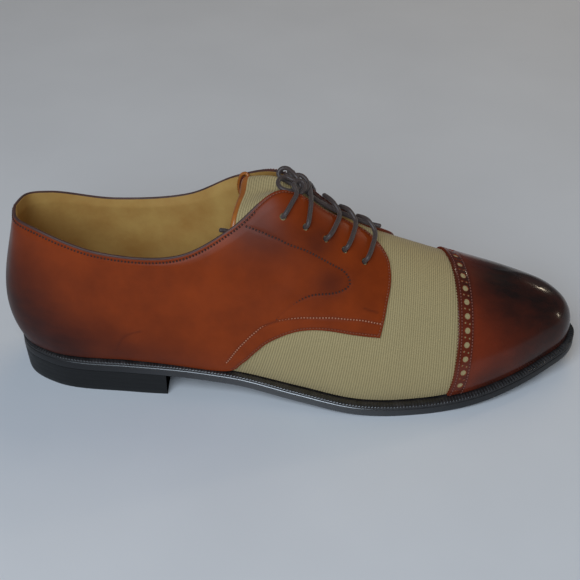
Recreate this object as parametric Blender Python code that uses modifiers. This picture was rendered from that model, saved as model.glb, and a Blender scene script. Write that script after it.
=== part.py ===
"""A right spectator shoe: a hollow upper on a welted leather sole, leather overlays, tongue and round lace.

Sizes are in millimetres from the heel's back edge: +X points to the toe, -Y to the outer side, +Z up from the
floor. Every object is then moved so that the part's origin is under the middle of its box.
A place on the upper is (u, v): u runs from the heel back (0) to the toe tip, to 1 along the outer side
and to -1 along the inner side, and v runs from the feather edge at the welt (0) to the top line (1).
"""

import math
from collections import namedtuple

import bmesh
import bpy
import numpy as np
from mathutils import Vector

MM = 0.001
GAP = 0.3
# The part's origin, under the middle of its box, in the drawing's millimetres
ORIGIN = (147.85, -0.4, 0.0)

# Sole and heel
OUTSOLE_THICK = 4.7
WELT_THICK = 2.3
HEEL_BREAST = 80.0
HEEL_HOLLOW = 4.0
HEEL_TAPER = 1.2
SOLE_STATIONS = 52
INSOLE_STATIONS = 36
HEEL_STATIONS = 15
HEEL_COLUMNS = 5
WELT_COLUMNS = 64
WELT_TUCK = 3.0

# Upper and overlays
WALL_THICK = 1.6
OVERLAY_LIFT = 0.55
OVERLAY_THICK = 1.2
WALL_ROWS = 11
BACK_COLUMNS = 25
TOE_COLUMNS = 11
QUARTER_COLUMNS = 33
QUARTER_ROWS = 12
QUARTER_CROWDING = 1.2
CAP_COLUMNS = 28
CAP_ROWS = 10
EYELET_RADIUS = 2.1
EYELET_SIDES = 8
EYELET_DEPTH = 9.0
SEAM_HALF = 0.002

# Insole and tongue
INSOLE_INSET = 3.8
INSOLE_RISE = 1.5
TONGUE_DEPTH = 2.5
TONGUE_THICK = 2.0
TONGUE_TOP = 0.985
# How far the rear edge of the tongue leans to the heel on the outer side and to the toe on the inner one
TONGUE_LEAN = (-0.015, 0.010)
TONGUE_STATIONS = 12
TONGUE_COLUMNS = 9
BINDING_RADIUS = 1.7
BINDING_SINK = 0.7

# Lace
LACE_RADIUS = 1.2
LACE_STEP = 4.9
LOOP_STEP = 3.2
KNOT_SIZE = (8.6, 8.0, 6.4)
KNOT_AT = (148.6, 2.0, 112.4)
KNOT_CREST_IN = 2.2
KNOT_CLEAR = 1.3
KNOT_CREST_UP = 3.4

# Sections from heel to toe: the feather edge in plan on both sides, and how far the welt stands out
Plan = namedtuple("Plan", "name at outer_x outer_y inner_x inner_y welt")
PLAN = (
    Plan("heel_back", 0.00, -1.0, 0.0, -1.0, 0.0, 2.0),
    Plan("heel_round", 0.05, 3.4, -15.0, 3.4, 15.0, 2.3),
    Plan("heel_side", 0.11, 19.0, -26.2, 19.0, 26.0, 2.6),
    Plan("heel_front", 0.22, 60.0, -31.5, 60.0, 30.5, 3.2),
    Plan("waist", 0.33, 98.0, -34.0, 100.0, 25.5, 2.6),
    Plan("rise", 0.42, 122.0, -35.0, 126.0, 24.0, 3.2),
    Plan("throat", 0.51, 150.0, -39.0, 156.0, 29.0, 4.3),
    Plan("ball", 0.62, 184.0, -44.3, 192.0, 38.5, 4.5),
    Plan("joint", 0.73, 220.0, -40.6, 229.0, 43.0, 5.0),
    Plan("toe_side", 0.84, 254.0, -30.5, 262.0, 38.0, 5.3),
    Plan("toe_corner", 0.93, 284.0, -13.0, 287.0, 25.0, 5.0),
    Plan("toe_round", 0.968, 295.6, -3.6, 295.6, 17.4, 5.0),
    Plan("toe_tip", 1.00, 299.5, 7.0, 299.5, 7.0, 5.0),
)
CLOSED_FROM = 0.73

# The top line at each section: collar, then the facing edges, then the ridge where the sides meet
TopLine = namedtuple("TopLine", "name x y gap outer_z inner_z")
TOP_LINE = (
    TopLine("heel_back", 2.0, 0.0, 0.0, 98.0, 98.0),
    TopLine("heel_round", 5.0, 0.0, 24.0, 98.4, 97.0),
    TopLine("heel_side", 16.0, 0.0, 40.0, 97.0, 94.0),
    TopLine("heel_front", 50.0, 0.0, 56.0, 88.0, 85.5),
    TopLine("waist", 90.0, 0.5, 55.0, 86.8, 89.5),
    TopLine("rise", 116.0, 1.5, 44.0, 99.6, 104.0),
    TopLine("throat", 139.0, 2.0, 22.0, 115.0, 113.5),
    TopLine("ball", 166.0, 3.0, 8.0, 97.0, 97.0),
    TopLine("joint", 190.0, 5.0, 0.0, 82.4, 82.4),
    TopLine("toe_side", 224.0, 8.0, 0.0, 66.2, 66.2),
    TopLine("toe_corner", 252.0, 9.5, 0.0, 56.4, 56.4),
    TopLine("toe_round", 263.0, 9.5, 0.0, 54.0, 54.0),
    TopLine("toe_tip", 268.0, 9.5, 0.0, 52.3, 52.3),
)

# The rib from feather to top line is one curve: its lower handle goes out and up, its upper one over and down
Rib = namedtuple("Rib", "name outer_out outer_up inner_out inner_up over outer_drop inner_drop")
RIBS = (
    Rib("heel_back", 14.0, 28.0, 14.0, 28.0, 3.0, 26.0, 26.0),
    Rib("heel_round", 13.0, 28.0, 13.0, 28.0, 3.0, 26.0, 26.0),
    Rib("heel_side", 9.0, 29.0, 9.0, 29.0, 3.0, 24.0, 24.0),
    Rib("heel_front", 7.0, 26.0, 5.0, 26.0, 4.0, 18.0, 18.0),
    Rib("waist", 7.0, 24.0, 5.0, 26.0, 8.0, 18.0, 18.0),
    Rib("rise", 7.0, 25.0, 5.0, 28.0, 12.0, 20.0, 20.0),
    Rib("throat", 7.0, 26.0, 5.0, 30.0, 18.0, 16.0, 20.0),
    Rib("ball", 6.0, 25.0, 5.0, 28.0, 22.0, 6.0, 20.0),
    Rib("joint", 5.0, 24.4, 5.0, 30.0, 23.5, 6.2, 10.0),
    Rib("toe_side", 4.0, 23.3, 4.0, 31.0, 24.3, 5.5, 8.2),
    Rib("toe_corner", 3.0, 21.2, 3.0, 24.1, 22.1, 4.6, 5.2),
    Rib("toe_round", 3.0, 20.5, 3.0, 21.6, 20.2, 5.7, 5.9),
    Rib("toe_tip", 3.0, 20.4, 3.0, 20.4, 19.9, 6.7, 6.7),
)

# Underside of the sole along its length: heel seat, arch, flat tread and toe spring
Tread = namedtuple("Tread", "x z")
UNDERSIDE = (
    Tread(-5.0, 14.6),
    Tread(38.0, 14.6),
    Tread(80.0, 14.2),
    Tread(116.0, 10.4),
    Tread(153.0, 4.6),
    Tread(184.0, 0.9),
    Tread(200.0, 0.0),
    Tread(222.0, 0.0),
    Tread(236.0, 0.9),
    Tread(263.0, 4.2),
    Tread(288.0, 9.0),
    Tread(306.0, 13.6),
)

# Lower edge of a quarter, from the heel seat up over the vamp to its front corner
Edge = namedtuple("Edge", "u v")
QUARTER_LOWER = (
    Edge(0.0, 0.03),
    Edge(0.20, 0.03),
    Edge(0.39, 0.03),
    Edge(0.422, 0.117),
    Edge(0.446, 0.216),
    Edge(0.469, 0.283),
    Edge(0.512, 0.340),
    Edge(0.578, 0.379),
    Edge(0.662, 0.384),
)
# Front edge of a quarter, from that corner up to the lowest lace hole and round to the facing
QUARTER_FRONT = (
    Edge(0.662, 0.384),
    Edge(0.685, 0.524),
    Edge(0.715, 0.702),
    Edge(0.723, 0.803),
    Edge(0.716, 0.894),
    Edge(0.697, 0.960),
    Edge(0.655, 0.990),
)
# Top edge of a quarter: the collar, then the facing
QUARTER_TOP = (
    Edge(0.0, 1.0),
    Edge(0.30, 1.0),
    Edge(0.60, 1.0),
    Edge(0.655, 0.990),
)
# Seam of the toe cap on both sides, from the feather edge up to the ridge
CapSeam = namedtuple("CapSeam", "v outer_u inner_u")
CAP_SEAM = (
    CapSeam(0.030, 0.765, 0.716),
    CapSeam(0.256, 0.783, 0.728),
    CapSeam(0.431, 0.800, 0.750),
    CapSeam(0.651, 0.823, 0.789),
    CapSeam(0.790, 0.838, 0.817),
    CapSeam(0.900, 0.850, 0.8395),
    CapSeam(1.000, 0.861, 0.861),
)

# Lace holes on each side, from the top of the throat to the toe
EYELETS = (
    Edge(0.511, 0.849),
    Edge(0.551, 0.806),
    Edge(0.589, 0.787),
    Edge(0.625, 0.766),
    Edge(0.663, 0.731),
)

# How each lace bar leans to the toe on both sides, its share of the way up on the leather, and its arch
Bar = namedtuple("Bar", "outer_lean inner_lean climb rise")
BARS = (
    Bar(0.030, 0.020, 0.90, 0.0),
    Bar(0.017, 0.012, 0.90, 1.2),
    Bar(0.040, 0.007, 0.90, 3.2),
    Bar(0.042, 0.007, 0.86, 3.8),
    Bar(0.046, 0.006, 0.74, 4.4),
)
# Shares of a bar's climb, lean and arch at its hole, halfway and where it leaves the leather, and of its arch beyond
BAR_CLIMB = np.array([0.0, 0.5, 1.0])
BAR_LEAN = np.array([0.0, 0.6, 1.0])
BAR_ARCH = np.array([0.0, 0.1, 0.35])
BAR_CROWN = 0.65

# Height of the tongue's crown and how far down the sides it reaches
TongueRow = namedtuple("TongueRow", "at crown_z side_v")
TONGUE = (
    TongueRow(0.432, 106.6, 0.95),
    TongueRow(0.510, 108.6, 0.92),
    TongueRow(0.620, 94.8, 0.90),
    TongueRow(0.730, 79.4, 0.90),
    TongueRow(0.760, 75.0, 0.90),
)

# Free lace: the loops of the bow, the end tucked under the bars and the end inside the collar
LOOP_SMALL = (
    (147.0, 5.2, 117.2),
    (145.6, 6.6, 117.6),
    (143.6, 8.4, 118.2),
    (141.6, 9.2, 118.0),
    (139.6, 8.8, 117.0),
    (138.8, 7.6, 115.4),
    (140.2, 6.6, 113.8),
    (143.0, 5.6, 112.2),
)
LOOP_FLAT = (
    (145.4, 1.6, 116.2),
    (143.6, 2.4, 116.7),
    (141.4, 1.8, 117.0),
    (139.6, 0.0, 116.8),
    (139.0, -3.0, 116.2),
    (140.4, -5.6, 115.5),
    (142.6, -6.4, 115.2),
)
TUCKED_END = (
    (153.4, 1.6, 108.8),
    (158.9, 1.4, 103.9),
    (162.5, 1.6, 101.5),
    (167.2, 2.0, 98.4),
    (172.7, 3.0, 94.9),
    (177.2, 4.0, 92.2),
    (181.0, 4.6, 90.3),
    (186.0, 4.8, 88.2),
    (193.2, 4.4, 86.6),
)

COLLAR_END = (
    Edge(0.500, 0.830),
    Edge(0.470, 0.838),
    Edge(0.440, 0.845),
    Edge(0.414, 0.875),
    Edge(0.400, 0.950),
    Edge(0.390, 1.018),
    Edge(0.377, 1.034),
)

COLOURS = {
    "canvas": ((0.42, 0.36, 0.20), 0.9),
    "leather_tan": ((0.24, 0.06, 0.02), 0.35),
    "leather_cap": ((0.11, 0.03, 0.015), 0.3),
    "leather_lining": ((0.62, 0.45, 0.18), 0.6),
    "leather_binding": ((0.45, 0.13, 0.02), 0.3),
    "sole_black": ((0.012, 0.011, 0.012), 0.3),
    "lace_brown": ((0.055, 0.035, 0.028), 0.6),
}


def smooth(knots, values, at):
    """Values of a smooth curve through the knots, its slope at each one taken from its neighbours."""
    knots = np.asarray(knots, float)
    values = np.asarray(values, float).reshape(len(knots), -1)
    width = np.diff(knots)[:, None]
    slope = np.diff(values, axis=0) / width
    inside = (slope[:-1] * width[1:] + slope[1:] * width[:-1]) / (width[:-1] + width[1:])
    tangent = np.concatenate([slope[:1], inside, slope[-1:]])
    at = np.asarray(at, float)
    i = np.clip(np.searchsorted(knots, at, side="right") - 1, 0, len(knots) - 2)
    step = width[i]
    t = (at - knots[i])[..., None] / step
    start = (1 + 2 * t) * (1 - t) ** 2 * values[i] + t * (1 - t) ** 2 * step * tangent[i]
    end = t * t * (3 - 2 * t) * values[i + 1] + t * t * (t - 1) * step * tangent[i + 1]
    return start + end


def round_table():
    """Knots and columns of the section tables, once round the shoe and a little past both ends."""
    rows = {}
    for plan, top, rib in zip(PLAN, TOP_LINE, RIBS):
        rows[-plan.at] = (
            plan.inner_x, plan.inner_y, plan.welt, top.x, top.y, top.gap,
            top.inner_z, rib.inner_out, rib.inner_up, rib.over, rib.inner_drop,
        )
        rows[plan.at] = (
            plan.outer_x, plan.outer_y, plan.welt, top.x, top.y, top.gap,
            top.outer_z, rib.outer_out, rib.outer_up, rib.over, rib.outer_drop,
        )
    knots = np.array(sorted(rows))
    columns = np.array([rows[knot] for knot in knots])
    knots = np.concatenate([knots[-4:-1] - 2, knots, knots[1:4] + 2])
    columns = np.concatenate([columns[-4:-1], columns, columns[1:4]])
    return knots, columns


KNOTS, COLUMNS = round_table()


def last(u):
    """The section columns at u."""
    return smooth(KNOTS, COLUMNS, u)


def edge(u, share=0.0, grow=0.0):
    """The feather edge in plan, moved out by a share of the welt and by grow."""
    nudge = 1e-3
    columns = last(u)
    tangent = last(np.asarray(u) + nudge)[..., :2] - last(np.asarray(u) - nudge)[..., :2]
    tangent /= np.linalg.norm(tangent, axis=-1, keepdims=True)
    out = np.stack([tangent[..., 1], -tangent[..., 0]], axis=-1)
    return columns[..., :2] + out * (columns[..., 2:3] * share + grow), out


def underside(x):
    rows = np.array(UNDERSIDE)
    return np.maximum(smooth(rows[:, 0], rows[:, 1], np.clip(x, rows[0, 0], rows[-1, 0]))[..., 0], 0.0)


def seat(x):
    """Height of the feather edge, on top of outsole and welt."""
    return underside(x) + OUTSOLE_THICK + WELT_THICK + 2 * GAP


def wall(u, v):
    """Outer face of the upper, as points."""
    u, v = np.broadcast_arrays(np.asarray(u, float), np.asarray(v, float))
    columns = last(u)
    foot, out = edge(u)
    low = np.concatenate([foot, seat(foot[..., 0])[..., None]], axis=-1)
    half_gap = np.maximum(columns[..., 5], 0.0) / 2
    top = np.stack([columns[..., 3], columns[..., 4] - np.sign(u) * half_gap, columns[..., 6]], axis=-1)
    rise = np.array([0.0, 0.0, 1.0])
    out = np.concatenate([out, np.zeros_like(out[..., :1])], axis=-1)
    handle_low = low + out * columns[..., 7:8] + rise * columns[..., 8:9]
    down = (low - top) * [1.0, 1.0, 0.0]
    down /= np.maximum(np.linalg.norm(down, axis=-1, keepdims=True), 1e-6)
    handle_top = top + down * columns[..., 9:10] - rise * columns[..., 10:11]
    v = v[..., None]
    lower = (1 - v) ** 3 * low + 3 * (1 - v) ** 2 * v * handle_low
    return lower + 3 * (1 - v) * v * v * handle_top + v ** 3 * top


def wall_out(u, v):
    """Outward normal of the upper at (u, v)."""
    nudge = 1e-3
    v = np.clip(v, nudge, 0.985)
    along = wall(np.asarray(u) + nudge, v) - wall(np.asarray(u) - nudge, v)
    upward = wall(u, v + nudge) - wall(u, v - nudge)
    normal = np.cross(along, upward)
    return normal / np.linalg.norm(normal, axis=-1, keepdims=True)


def lifted(u, v, lift):
    return wall(u, v) + wall_out(u, v) * np.asarray(lift)[..., None]


def material(name):
    made = bpy.data.materials.get(name)
    if made is None:
        colour, roughness = COLOURS[name]
        made = bpy.data.materials.new(name)
        made.use_nodes = True
        shader = made.node_tree.nodes["Principled BSDF"]
        shader.inputs["Base Color"].default_value = (*colour, 1.0)
        shader.inputs["Roughness"].default_value = roughness
        shader.inputs["Metallic"].default_value = 0.0
    return made


def collection(name):
    made = bpy.data.collections.get(name)
    if made is None:
        made = bpy.data.collections.new(name)
        bpy.context.scene.collection.children.link(made)
    return made


def add_object(name, data, finish):
    """An object in the shoe's collection, moved to the part's origin."""
    made = bpy.data.objects.new(name, data)
    made.location = [-place * MM for place in ORIGIN]
    made.data.materials.append(material(finish))
    collection("spectator_shoe").objects.link(made)
    return made


def add_mesh(name, sheet, finish):
    """An object from a bmesh in millimetres, its coinciding points made one."""
    bmesh.ops.remove_doubles(sheet, verts=sheet.verts, dist=1e-3)
    bmesh.ops.scale(sheet, vec=(MM, MM, MM), verts=sheet.verts)
    mesh = bpy.data.meshes.new(name)
    sheet.to_mesh(mesh)
    sheet.free()
    mesh.shade_smooth()
    mesh.set_sharp_from_angle(angle=math.radians(40))
    return add_object(name, mesh, finish)


def sheet_of(points):
    """A bmesh of quads over a grid of points."""
    sheet = bmesh.new()
    rows, columns = points.shape[:2]
    verts = [[sheet.verts.new(point) for point in row] for row in points]
    for i in range(rows - 1):
        for j in range(columns - 1):
            sheet.faces.new((verts[i][j], verts[i + 1][j], verts[i + 1][j + 1], verts[i][j + 1]))
    return sheet


def shell(name, points, finish, thick):
    """A grid of points made a solid, thickened outwards, or inwards where thick is below zero."""
    made = add_mesh(name, sheet_of(points), finish)
    solid = made.modifiers.new("wall", "SOLIDIFY")
    solid.thickness = abs(thick) * MM
    solid.offset = math.copysign(1.0, thick)
    return made


def loft(name, rings, finish, wrap=False):
    """A solid through closed rings of points, capped at both ends or wrapped into a band."""
    closed = np.concatenate([rings, rings[:, :1]], axis=1)
    if wrap:
        closed = np.concatenate([closed, closed[:1]])
    sheet = sheet_of(closed)
    bmesh.ops.remove_doubles(sheet, verts=sheet.verts, dist=1e-3)
    bmesh.ops.holes_fill(sheet, edges=[rim for rim in sheet.edges if rim.is_boundary])
    bmesh.ops.recalc_face_normals(sheet, faces=sheet.faces)
    return add_mesh(name, sheet, finish)


def outline(share, grow):
    """The two sides of the sole's outline as (x, y) runs from heel to toe, outer side first."""
    loop, _ = edge(np.linspace(-1, 1, 801)[:-1], share, grow)
    loop = np.roll(loop, -int(np.argmin(loop[:, 0])), axis=0)
    tip = int(np.argmax(loop[:, 0]))
    return loop[: tip + 1], np.concatenate([loop[tip:], loop[:1]])[::-1]


def widths(sides, x):
    return [np.interp(x, side[:, 0], side[:, 1]) for side in sides]


def plate(name, share, grow, low, high, stations, finish):
    """A flat piece with the sole's outline, between two heights that follow its length."""
    sides = outline(share, grow)
    turn = np.linspace(0, math.pi, stations)
    x = sides[0][0, 0] + (sides[0][-1, 0] - sides[0][0, 0]) * (1 - np.cos(turn)) / 2
    outer, inner = widths(sides, x)
    rings = np.array([
        [(a, b, low(a)), (a, c, low(a)), (a, c, high(a)), (a, b, high(a))]
        for a, b, c in zip(x, outer, inner)
    ])
    return loft(name, rings, finish)


def build_sole():
    plate(
        "outsole", 1.0, 0.0,
        underside,
        lambda x: underside(x) + OUTSOLE_THICK,
        SOLE_STATIONS, "sole_black",
    )
    floor = OUTSOLE_THICK + GAP
    plate(
        "insole", 0.0, -INSOLE_INSET,
        lambda x: underside(x) + floor,
        lambda x: seat(x) + INSOLE_RISE,
        INSOLE_STATIONS, "leather_lining",
    )
    u = np.linspace(-1, 1, WELT_COLUMNS + 1)[:-1]
    outside, _ = edge(u, 1.0, -0.2)
    inside, _ = edge(u, 0.0, -WELT_TUCK)
    low = np.array([underside(outside[:, 0]), underside(inside[:, 0])]) + floor
    high = low + WELT_THICK
    rings = np.stack([
        np.column_stack([outside, low[0]]),
        np.column_stack([inside, low[1]]),
        np.column_stack([inside, high[1]]),
        np.column_stack([outside, high[0]]),
    ], axis=1)
    loft("welt", rings, "sole_black", wrap=True)


def build_heel():
    """The heel block, tapered to the floor, with a hollow breast."""
    share = 1 - np.cos(np.linspace(0, math.pi / 2, HEEL_STATIONS))
    across = np.linspace(-1, 1, HEEL_COLUMNS)
    rings = []
    for station in share:
        faces = []
        for grow, height in ((-HEEL_TAPER, lambda x: 0.0 * x), (-0.3, lambda x: underside(x) - GAP)):
            sides = outline(1.0, grow)
            back = sides[0][0, 0]
            x = back + (HEEL_BREAST - back) * station
            outer, inner = widths(sides, x)
            hollow = HEEL_HOLLOW * station ** 6 * (1 - across ** 2)
            y = (outer + inner) / 2 + across * (inner - outer) / 2
            faces.append(np.column_stack([x - hollow, y, height(x - hollow)]))
        rings.append(np.concatenate([faces[0], faces[1][::-1]]))
    loft("heel", np.array(rings), "sole_black")


def wall_columns():
    back = np.linspace(0, CLOSED_FROM, BACK_COLUMNS + 1)
    toe = np.linspace(CLOSED_FROM, 1, TOE_COLUMNS + 1)[1:]
    half = np.concatenate([back, toe])
    return np.concatenate([-half[:0:-1], half])


def eyelet_cutter():
    """Pins through every lace hole, as one hidden cutter."""
    cutter = bmesh.new()
    for hole in EYELETS:
        for side in (1, -1):
            pin = bmesh.ops.create_cone(
                cutter, cap_ends=True, segments=EYELET_SIDES, depth=EYELET_DEPTH,
                radius1=EYELET_RADIUS, radius2=EYELET_RADIUS,
            )["verts"]
            out = wall_out(side * hole.u, hole.v)
            turn = Vector(out).to_track_quat("Z", "Y").to_matrix()
            bmesh.ops.rotate(cutter, verts=pin, cent=(0, 0, 0), matrix=turn)
            bmesh.ops.translate(cutter, verts=pin, vec=wall(side * hole.u, hole.v))
    made = add_mesh("eyelet_cutter", cutter, "leather_tan")
    collection("spectator_shoe").objects.unlink(made)
    collection("cutters").objects.link(made)
    made.hide_render = True
    made.display_type = "WIRE"
    return made


def pierce(piece, cutter):
    cut = piece.modifiers.new("lace_holes", "BOOLEAN")
    cut.operation = "DIFFERENCE"
    cut.object = cutter


def build_upper(cutter):
    u = wall_columns()
    v = np.linspace(0, 1, WALL_ROWS)
    points = wall(u[:, None], v[None, :])
    upper = shell("upper", points, "canvas", -WALL_THICK)
    pierce(upper, cutter)


def along_edge(rows, shares):
    """The (u, v) places at shares of the length of an edge."""
    table = np.array(rows)
    reach = np.concatenate([[0], np.cumsum(np.linalg.norm(np.diff(table, axis=0), axis=1))])
    return smooth(reach, table, np.asarray(shares) * reach[-1])


def quarter_grid():
    """A patch of (u, v) between the quarter's lower edge, front edge, top edge and back seam."""
    s = np.linspace(0, 1, QUARTER_COLUMNS) ** QUARTER_CROWDING
    t = np.linspace(0, 1, QUARTER_ROWS)
    low = along_edge(QUARTER_LOWER, s)
    top = along_edge(QUARTER_TOP, s)
    front = along_edge(QUARTER_FRONT, t)
    back = np.column_stack([np.zeros(QUARTER_ROWS), low[0, 1] + t * (1 - low[0, 1])])
    s = s[:, None, None]
    t = t[None, :, None]
    ruled = (1 - t) * low[:, None] + t * top[:, None] + (1 - s) * back[None] + s * front[None]
    corners = (1 - s) * ((1 - t) * low[0] + t * top[0]) + s * ((1 - t) * low[-1] + t * top[-1])
    grid = ruled - corners
    grid[..., 0] = np.maximum(grid[..., 0], SEAM_HALF)
    return grid


def build_quarters(cutter):
    grid = quarter_grid()
    for name, side in (("quarter_outer", 1), ("quarter_inner", -1)):
        points = lifted(side * grid[..., 0], grid[..., 1], np.full(grid.shape[:2], OVERLAY_LIFT))
        points = points if side > 0 else points[::-1]
        pierce(shell(name, points, "leather_tan", OVERLAY_THICK), cutter)


def build_toe_cap():
    """The cap from its seam on one side, round the toe, to its seam on the other."""
    seam = np.array(CAP_SEAM)
    v = np.linspace(seam[0, 0], 1, CAP_ROWS)
    starts = smooth(seam[:, 0], seam[:, 1:], v)
    share = np.linspace(0, 1, CAP_COLUMNS // 2)[:, None]
    outer, inner = (start + (1 - start) * share for start in starts.T)
    u = np.concatenate([outer, -inner[-2::-1]])
    points = lifted(u, np.broadcast_to(v, u.shape), np.full(u.shape, OVERLAY_LIFT))
    points[:, -1] = (points[:, -1] + points[::-1, -1]) / 2
    shell("toe_cap", points, "leather_cap", OVERLAY_THICK)


def tongue_section(at, depth):
    """Points across the tongue at one section, outer side first."""
    rows = np.array(TONGUE)
    crown_z, side_v = smooth(rows[:, 0], rows[:, 1:], at)
    v = np.array([side_v, (side_v + TONGUE_TOP) / 2, TONGUE_TOP])
    outer = lifted(np.full(3, at), v, np.full(3, -depth))
    inner = lifted(np.full(3, -at), v, np.full(3, -depth))
    top = last(at)
    crown = np.array([[top[3], top[4], crown_z - (depth - TONGUE_DEPTH)]])
    points = np.concatenate([outer, crown, inner[::-1]])
    reach = np.concatenate([[0], np.cumsum(np.linalg.norm(np.diff(points, axis=0), axis=1))])
    return smooth(reach, points, np.linspace(0, reach[-1], TONGUE_COLUMNS))


def leaning_section(at, depth):
    """Points across the tongue where it leans, as it does most at its rear edge."""
    fade = (TONGUE[-1].at - at) / (TONGUE[-1].at - TONGUE[0].at)
    lean = np.linspace(*TONGUE_LEAN, TONGUE_COLUMNS) * fade
    return np.array([tongue_section(at + move, depth)[column] for column, move in enumerate(lean)])


def build_tongue():
    at = np.linspace(TONGUE[0].at, TONGUE[-1].at, TONGUE_STATIONS)
    over = np.array([leaning_section(a, TONGUE_DEPTH) for a in at])
    under = np.array([leaning_section(a, TONGUE_DEPTH + TONGUE_THICK) for a in at])
    rings = np.concatenate([over, under[:, ::-1]], axis=1)
    loft("tongue", rings, "canvas")
    middle = TONGUE_DEPTH + TONGUE_THICK / 2 + BINDING_SINK
    rear, ahead = (leaning_section(a, middle) for a in at[:2])
    back = rear - ahead
    back /= np.linalg.norm(back, axis=1, keepdims=True)
    route = rear + back * (BINDING_RADIUS + 2 * GAP)
    tube("tongue_binding", route, BINDING_RADIUS, "leather_binding")


def spread(route, step):
    """Points a step apart on a smooth curve through a route."""
    route = np.array(route, float)
    reach = np.concatenate([[0], np.cumsum(np.linalg.norm(np.diff(route, axis=0), axis=1))])
    count = max(4, int(round(reach[-1] / step)) + 1)
    return smooth(reach, route, np.linspace(0, reach[-1], count))


def tube(name, points, radius, finish):
    """A round cord along points."""
    curve = bpy.data.curves.new(name, "CURVE")
    curve.dimensions = "3D"
    curve.bevel_depth = radius * MM
    curve.bevel_resolution = 2
    curve.use_fill_caps = True
    line = curve.splines.new("POLY")
    line.points.add(len(points) - 1)
    for target, point in zip(line.points, points):
        target.co = (*(np.asarray(point) * MM), 1.0)
    return add_object(name, curve, finish)


def half_bar(hole, bar, side):
    """A lace bar from its hole on one side up to where it leaves the leather."""
    lean = bar.outer_lean if side > 0 else bar.inner_lean
    lift = OVERLAY_LIFT + OVERLAY_THICK + 2 * GAP + LACE_RADIUS
    v = hole.v + (1 - hole.v) * bar.climb * BAR_CLIMB
    u = hole.u + lean * BAR_LEAN
    return lifted(side * u, v, lift + bar.rise * BAR_ARCH)


def build_bars():
    """The top bar runs from both holes to the knot, and the others cross the throat."""
    hole, bar = EYELETS[0], BARS[0]
    for side, lean, name in ((1, bar.outer_lean, "outer"), (-1, bar.inner_lean, "inner")):
        climb = half_bar(hole, bar, side)
        crest = wall(side * (hole.u + lean), 1.0) + [0.0, side * KNOT_CREST_IN, KNOT_CREST_UP]
        end = np.array(KNOT_AT) - [0.0, side * (KNOT_SIZE[1] / 2 + KNOT_CLEAR), 0.0]
        route = np.concatenate([climb, [crest, end]])
        tube(f"lace_bar_1_{name}", spread(route, LACE_STEP), LACE_RADIUS, "lace_brown")
    for number, (hole, bar) in enumerate(zip(EYELETS[1:], BARS[1:]), start=2):
        outer, inner = (half_bar(hole, bar, side) for side in (1, -1))
        middle = (outer[-1:] + inner[-1:]) / 2 + [0.0, 0.0, BAR_CROWN * bar.rise]
        route = np.concatenate([outer, middle, inner[::-1]])
        tube(f"lace_bar_{number}", spread(route, LACE_STEP), LACE_RADIUS, "lace_brown")


def build_bow():
    knot = bmesh.new()
    bmesh.ops.create_uvsphere(knot, u_segments=12, v_segments=7, radius=0.5)
    bmesh.ops.scale(knot, vec=KNOT_SIZE, verts=knot.verts)
    bmesh.ops.translate(knot, vec=KNOT_AT, verts=knot.verts)
    add_mesh("lace_knot", knot, "lace_brown")
    tube("lace_loop_small", spread(LOOP_SMALL, LOOP_STEP), LACE_RADIUS, "lace_brown")
    tube("lace_loop_flat", spread(LOOP_FLAT, LOOP_STEP), LACE_RADIUS, "lace_brown")
    tube("lace_end_tucked", spread(TUCKED_END, LACE_STEP), LACE_RADIUS, "lace_brown")
    hidden = np.array(COLLAR_END)
    depth = np.full(len(hidden), -(WALL_THICK + 2 * GAP + LACE_RADIUS))
    route = lifted(hidden[:, 0], hidden[:, 1], depth)
    tube("lace_end_collar", spread(route, LACE_STEP), LACE_RADIUS, "lace_brown")


def main():
    for old in list(bpy.data.objects):
        bpy.data.objects.remove(old, do_unlink=True)
    build_sole()
    build_heel()
    cutter = eyelet_cutter()
    build_upper(cutter)
    build_quarters(cutter)
    build_toe_cap()
    build_tongue()
    build_bars()
    build_bow()


main()
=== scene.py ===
"""The looks of a right spectator shoe.

It has a ribbed cloth vamp, burnished leather, a brogued cap, a welted black sole and a lace. Sizes are
in millimetres from the heel's back edge: +X points to the toe, -Y to the outer side, +Z up from the floor.
A place on the upper is (u, v): u runs from the heel back (0) to the toe tip, to 1 along the outer side
and to -1 along the inner side, and v runs from the feather edge at the welt (0) to the top line (1).
"""

import math
from collections import namedtuple

import bmesh
import bpy
import numpy as np
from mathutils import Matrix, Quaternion, Vector
from mathutils.kdtree import KDTree


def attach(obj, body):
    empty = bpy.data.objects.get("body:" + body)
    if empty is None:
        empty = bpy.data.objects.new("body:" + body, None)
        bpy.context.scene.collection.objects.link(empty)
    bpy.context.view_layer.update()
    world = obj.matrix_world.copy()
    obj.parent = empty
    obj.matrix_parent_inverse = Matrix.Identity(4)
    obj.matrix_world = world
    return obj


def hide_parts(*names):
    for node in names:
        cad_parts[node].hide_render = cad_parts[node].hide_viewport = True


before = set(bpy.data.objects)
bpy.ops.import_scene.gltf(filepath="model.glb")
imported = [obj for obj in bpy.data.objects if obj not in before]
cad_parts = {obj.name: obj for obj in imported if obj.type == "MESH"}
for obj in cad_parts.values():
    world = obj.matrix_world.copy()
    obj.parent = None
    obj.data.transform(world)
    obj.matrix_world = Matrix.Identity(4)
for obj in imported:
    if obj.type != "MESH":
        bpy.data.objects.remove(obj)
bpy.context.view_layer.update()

MM = 0.001
# The part's origin, in the drawing's millimetres
ORIGIN = np.array([147.85, -0.4, 0.0])
# Points of a mesh in the same cell of this size become one
WELD = 0.001
# Step in u and v for slopes, and the level above which the wall's slope no longer changes
NUDGE = 1e-3
SLOPE_TOP = 0.985
# Angle in degrees from which an edge looks sharp
SHARP = 40.0
# The sides of the shoe with their signs of u
SIDES = ((1, "outer"), (-1, "inner"))

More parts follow.
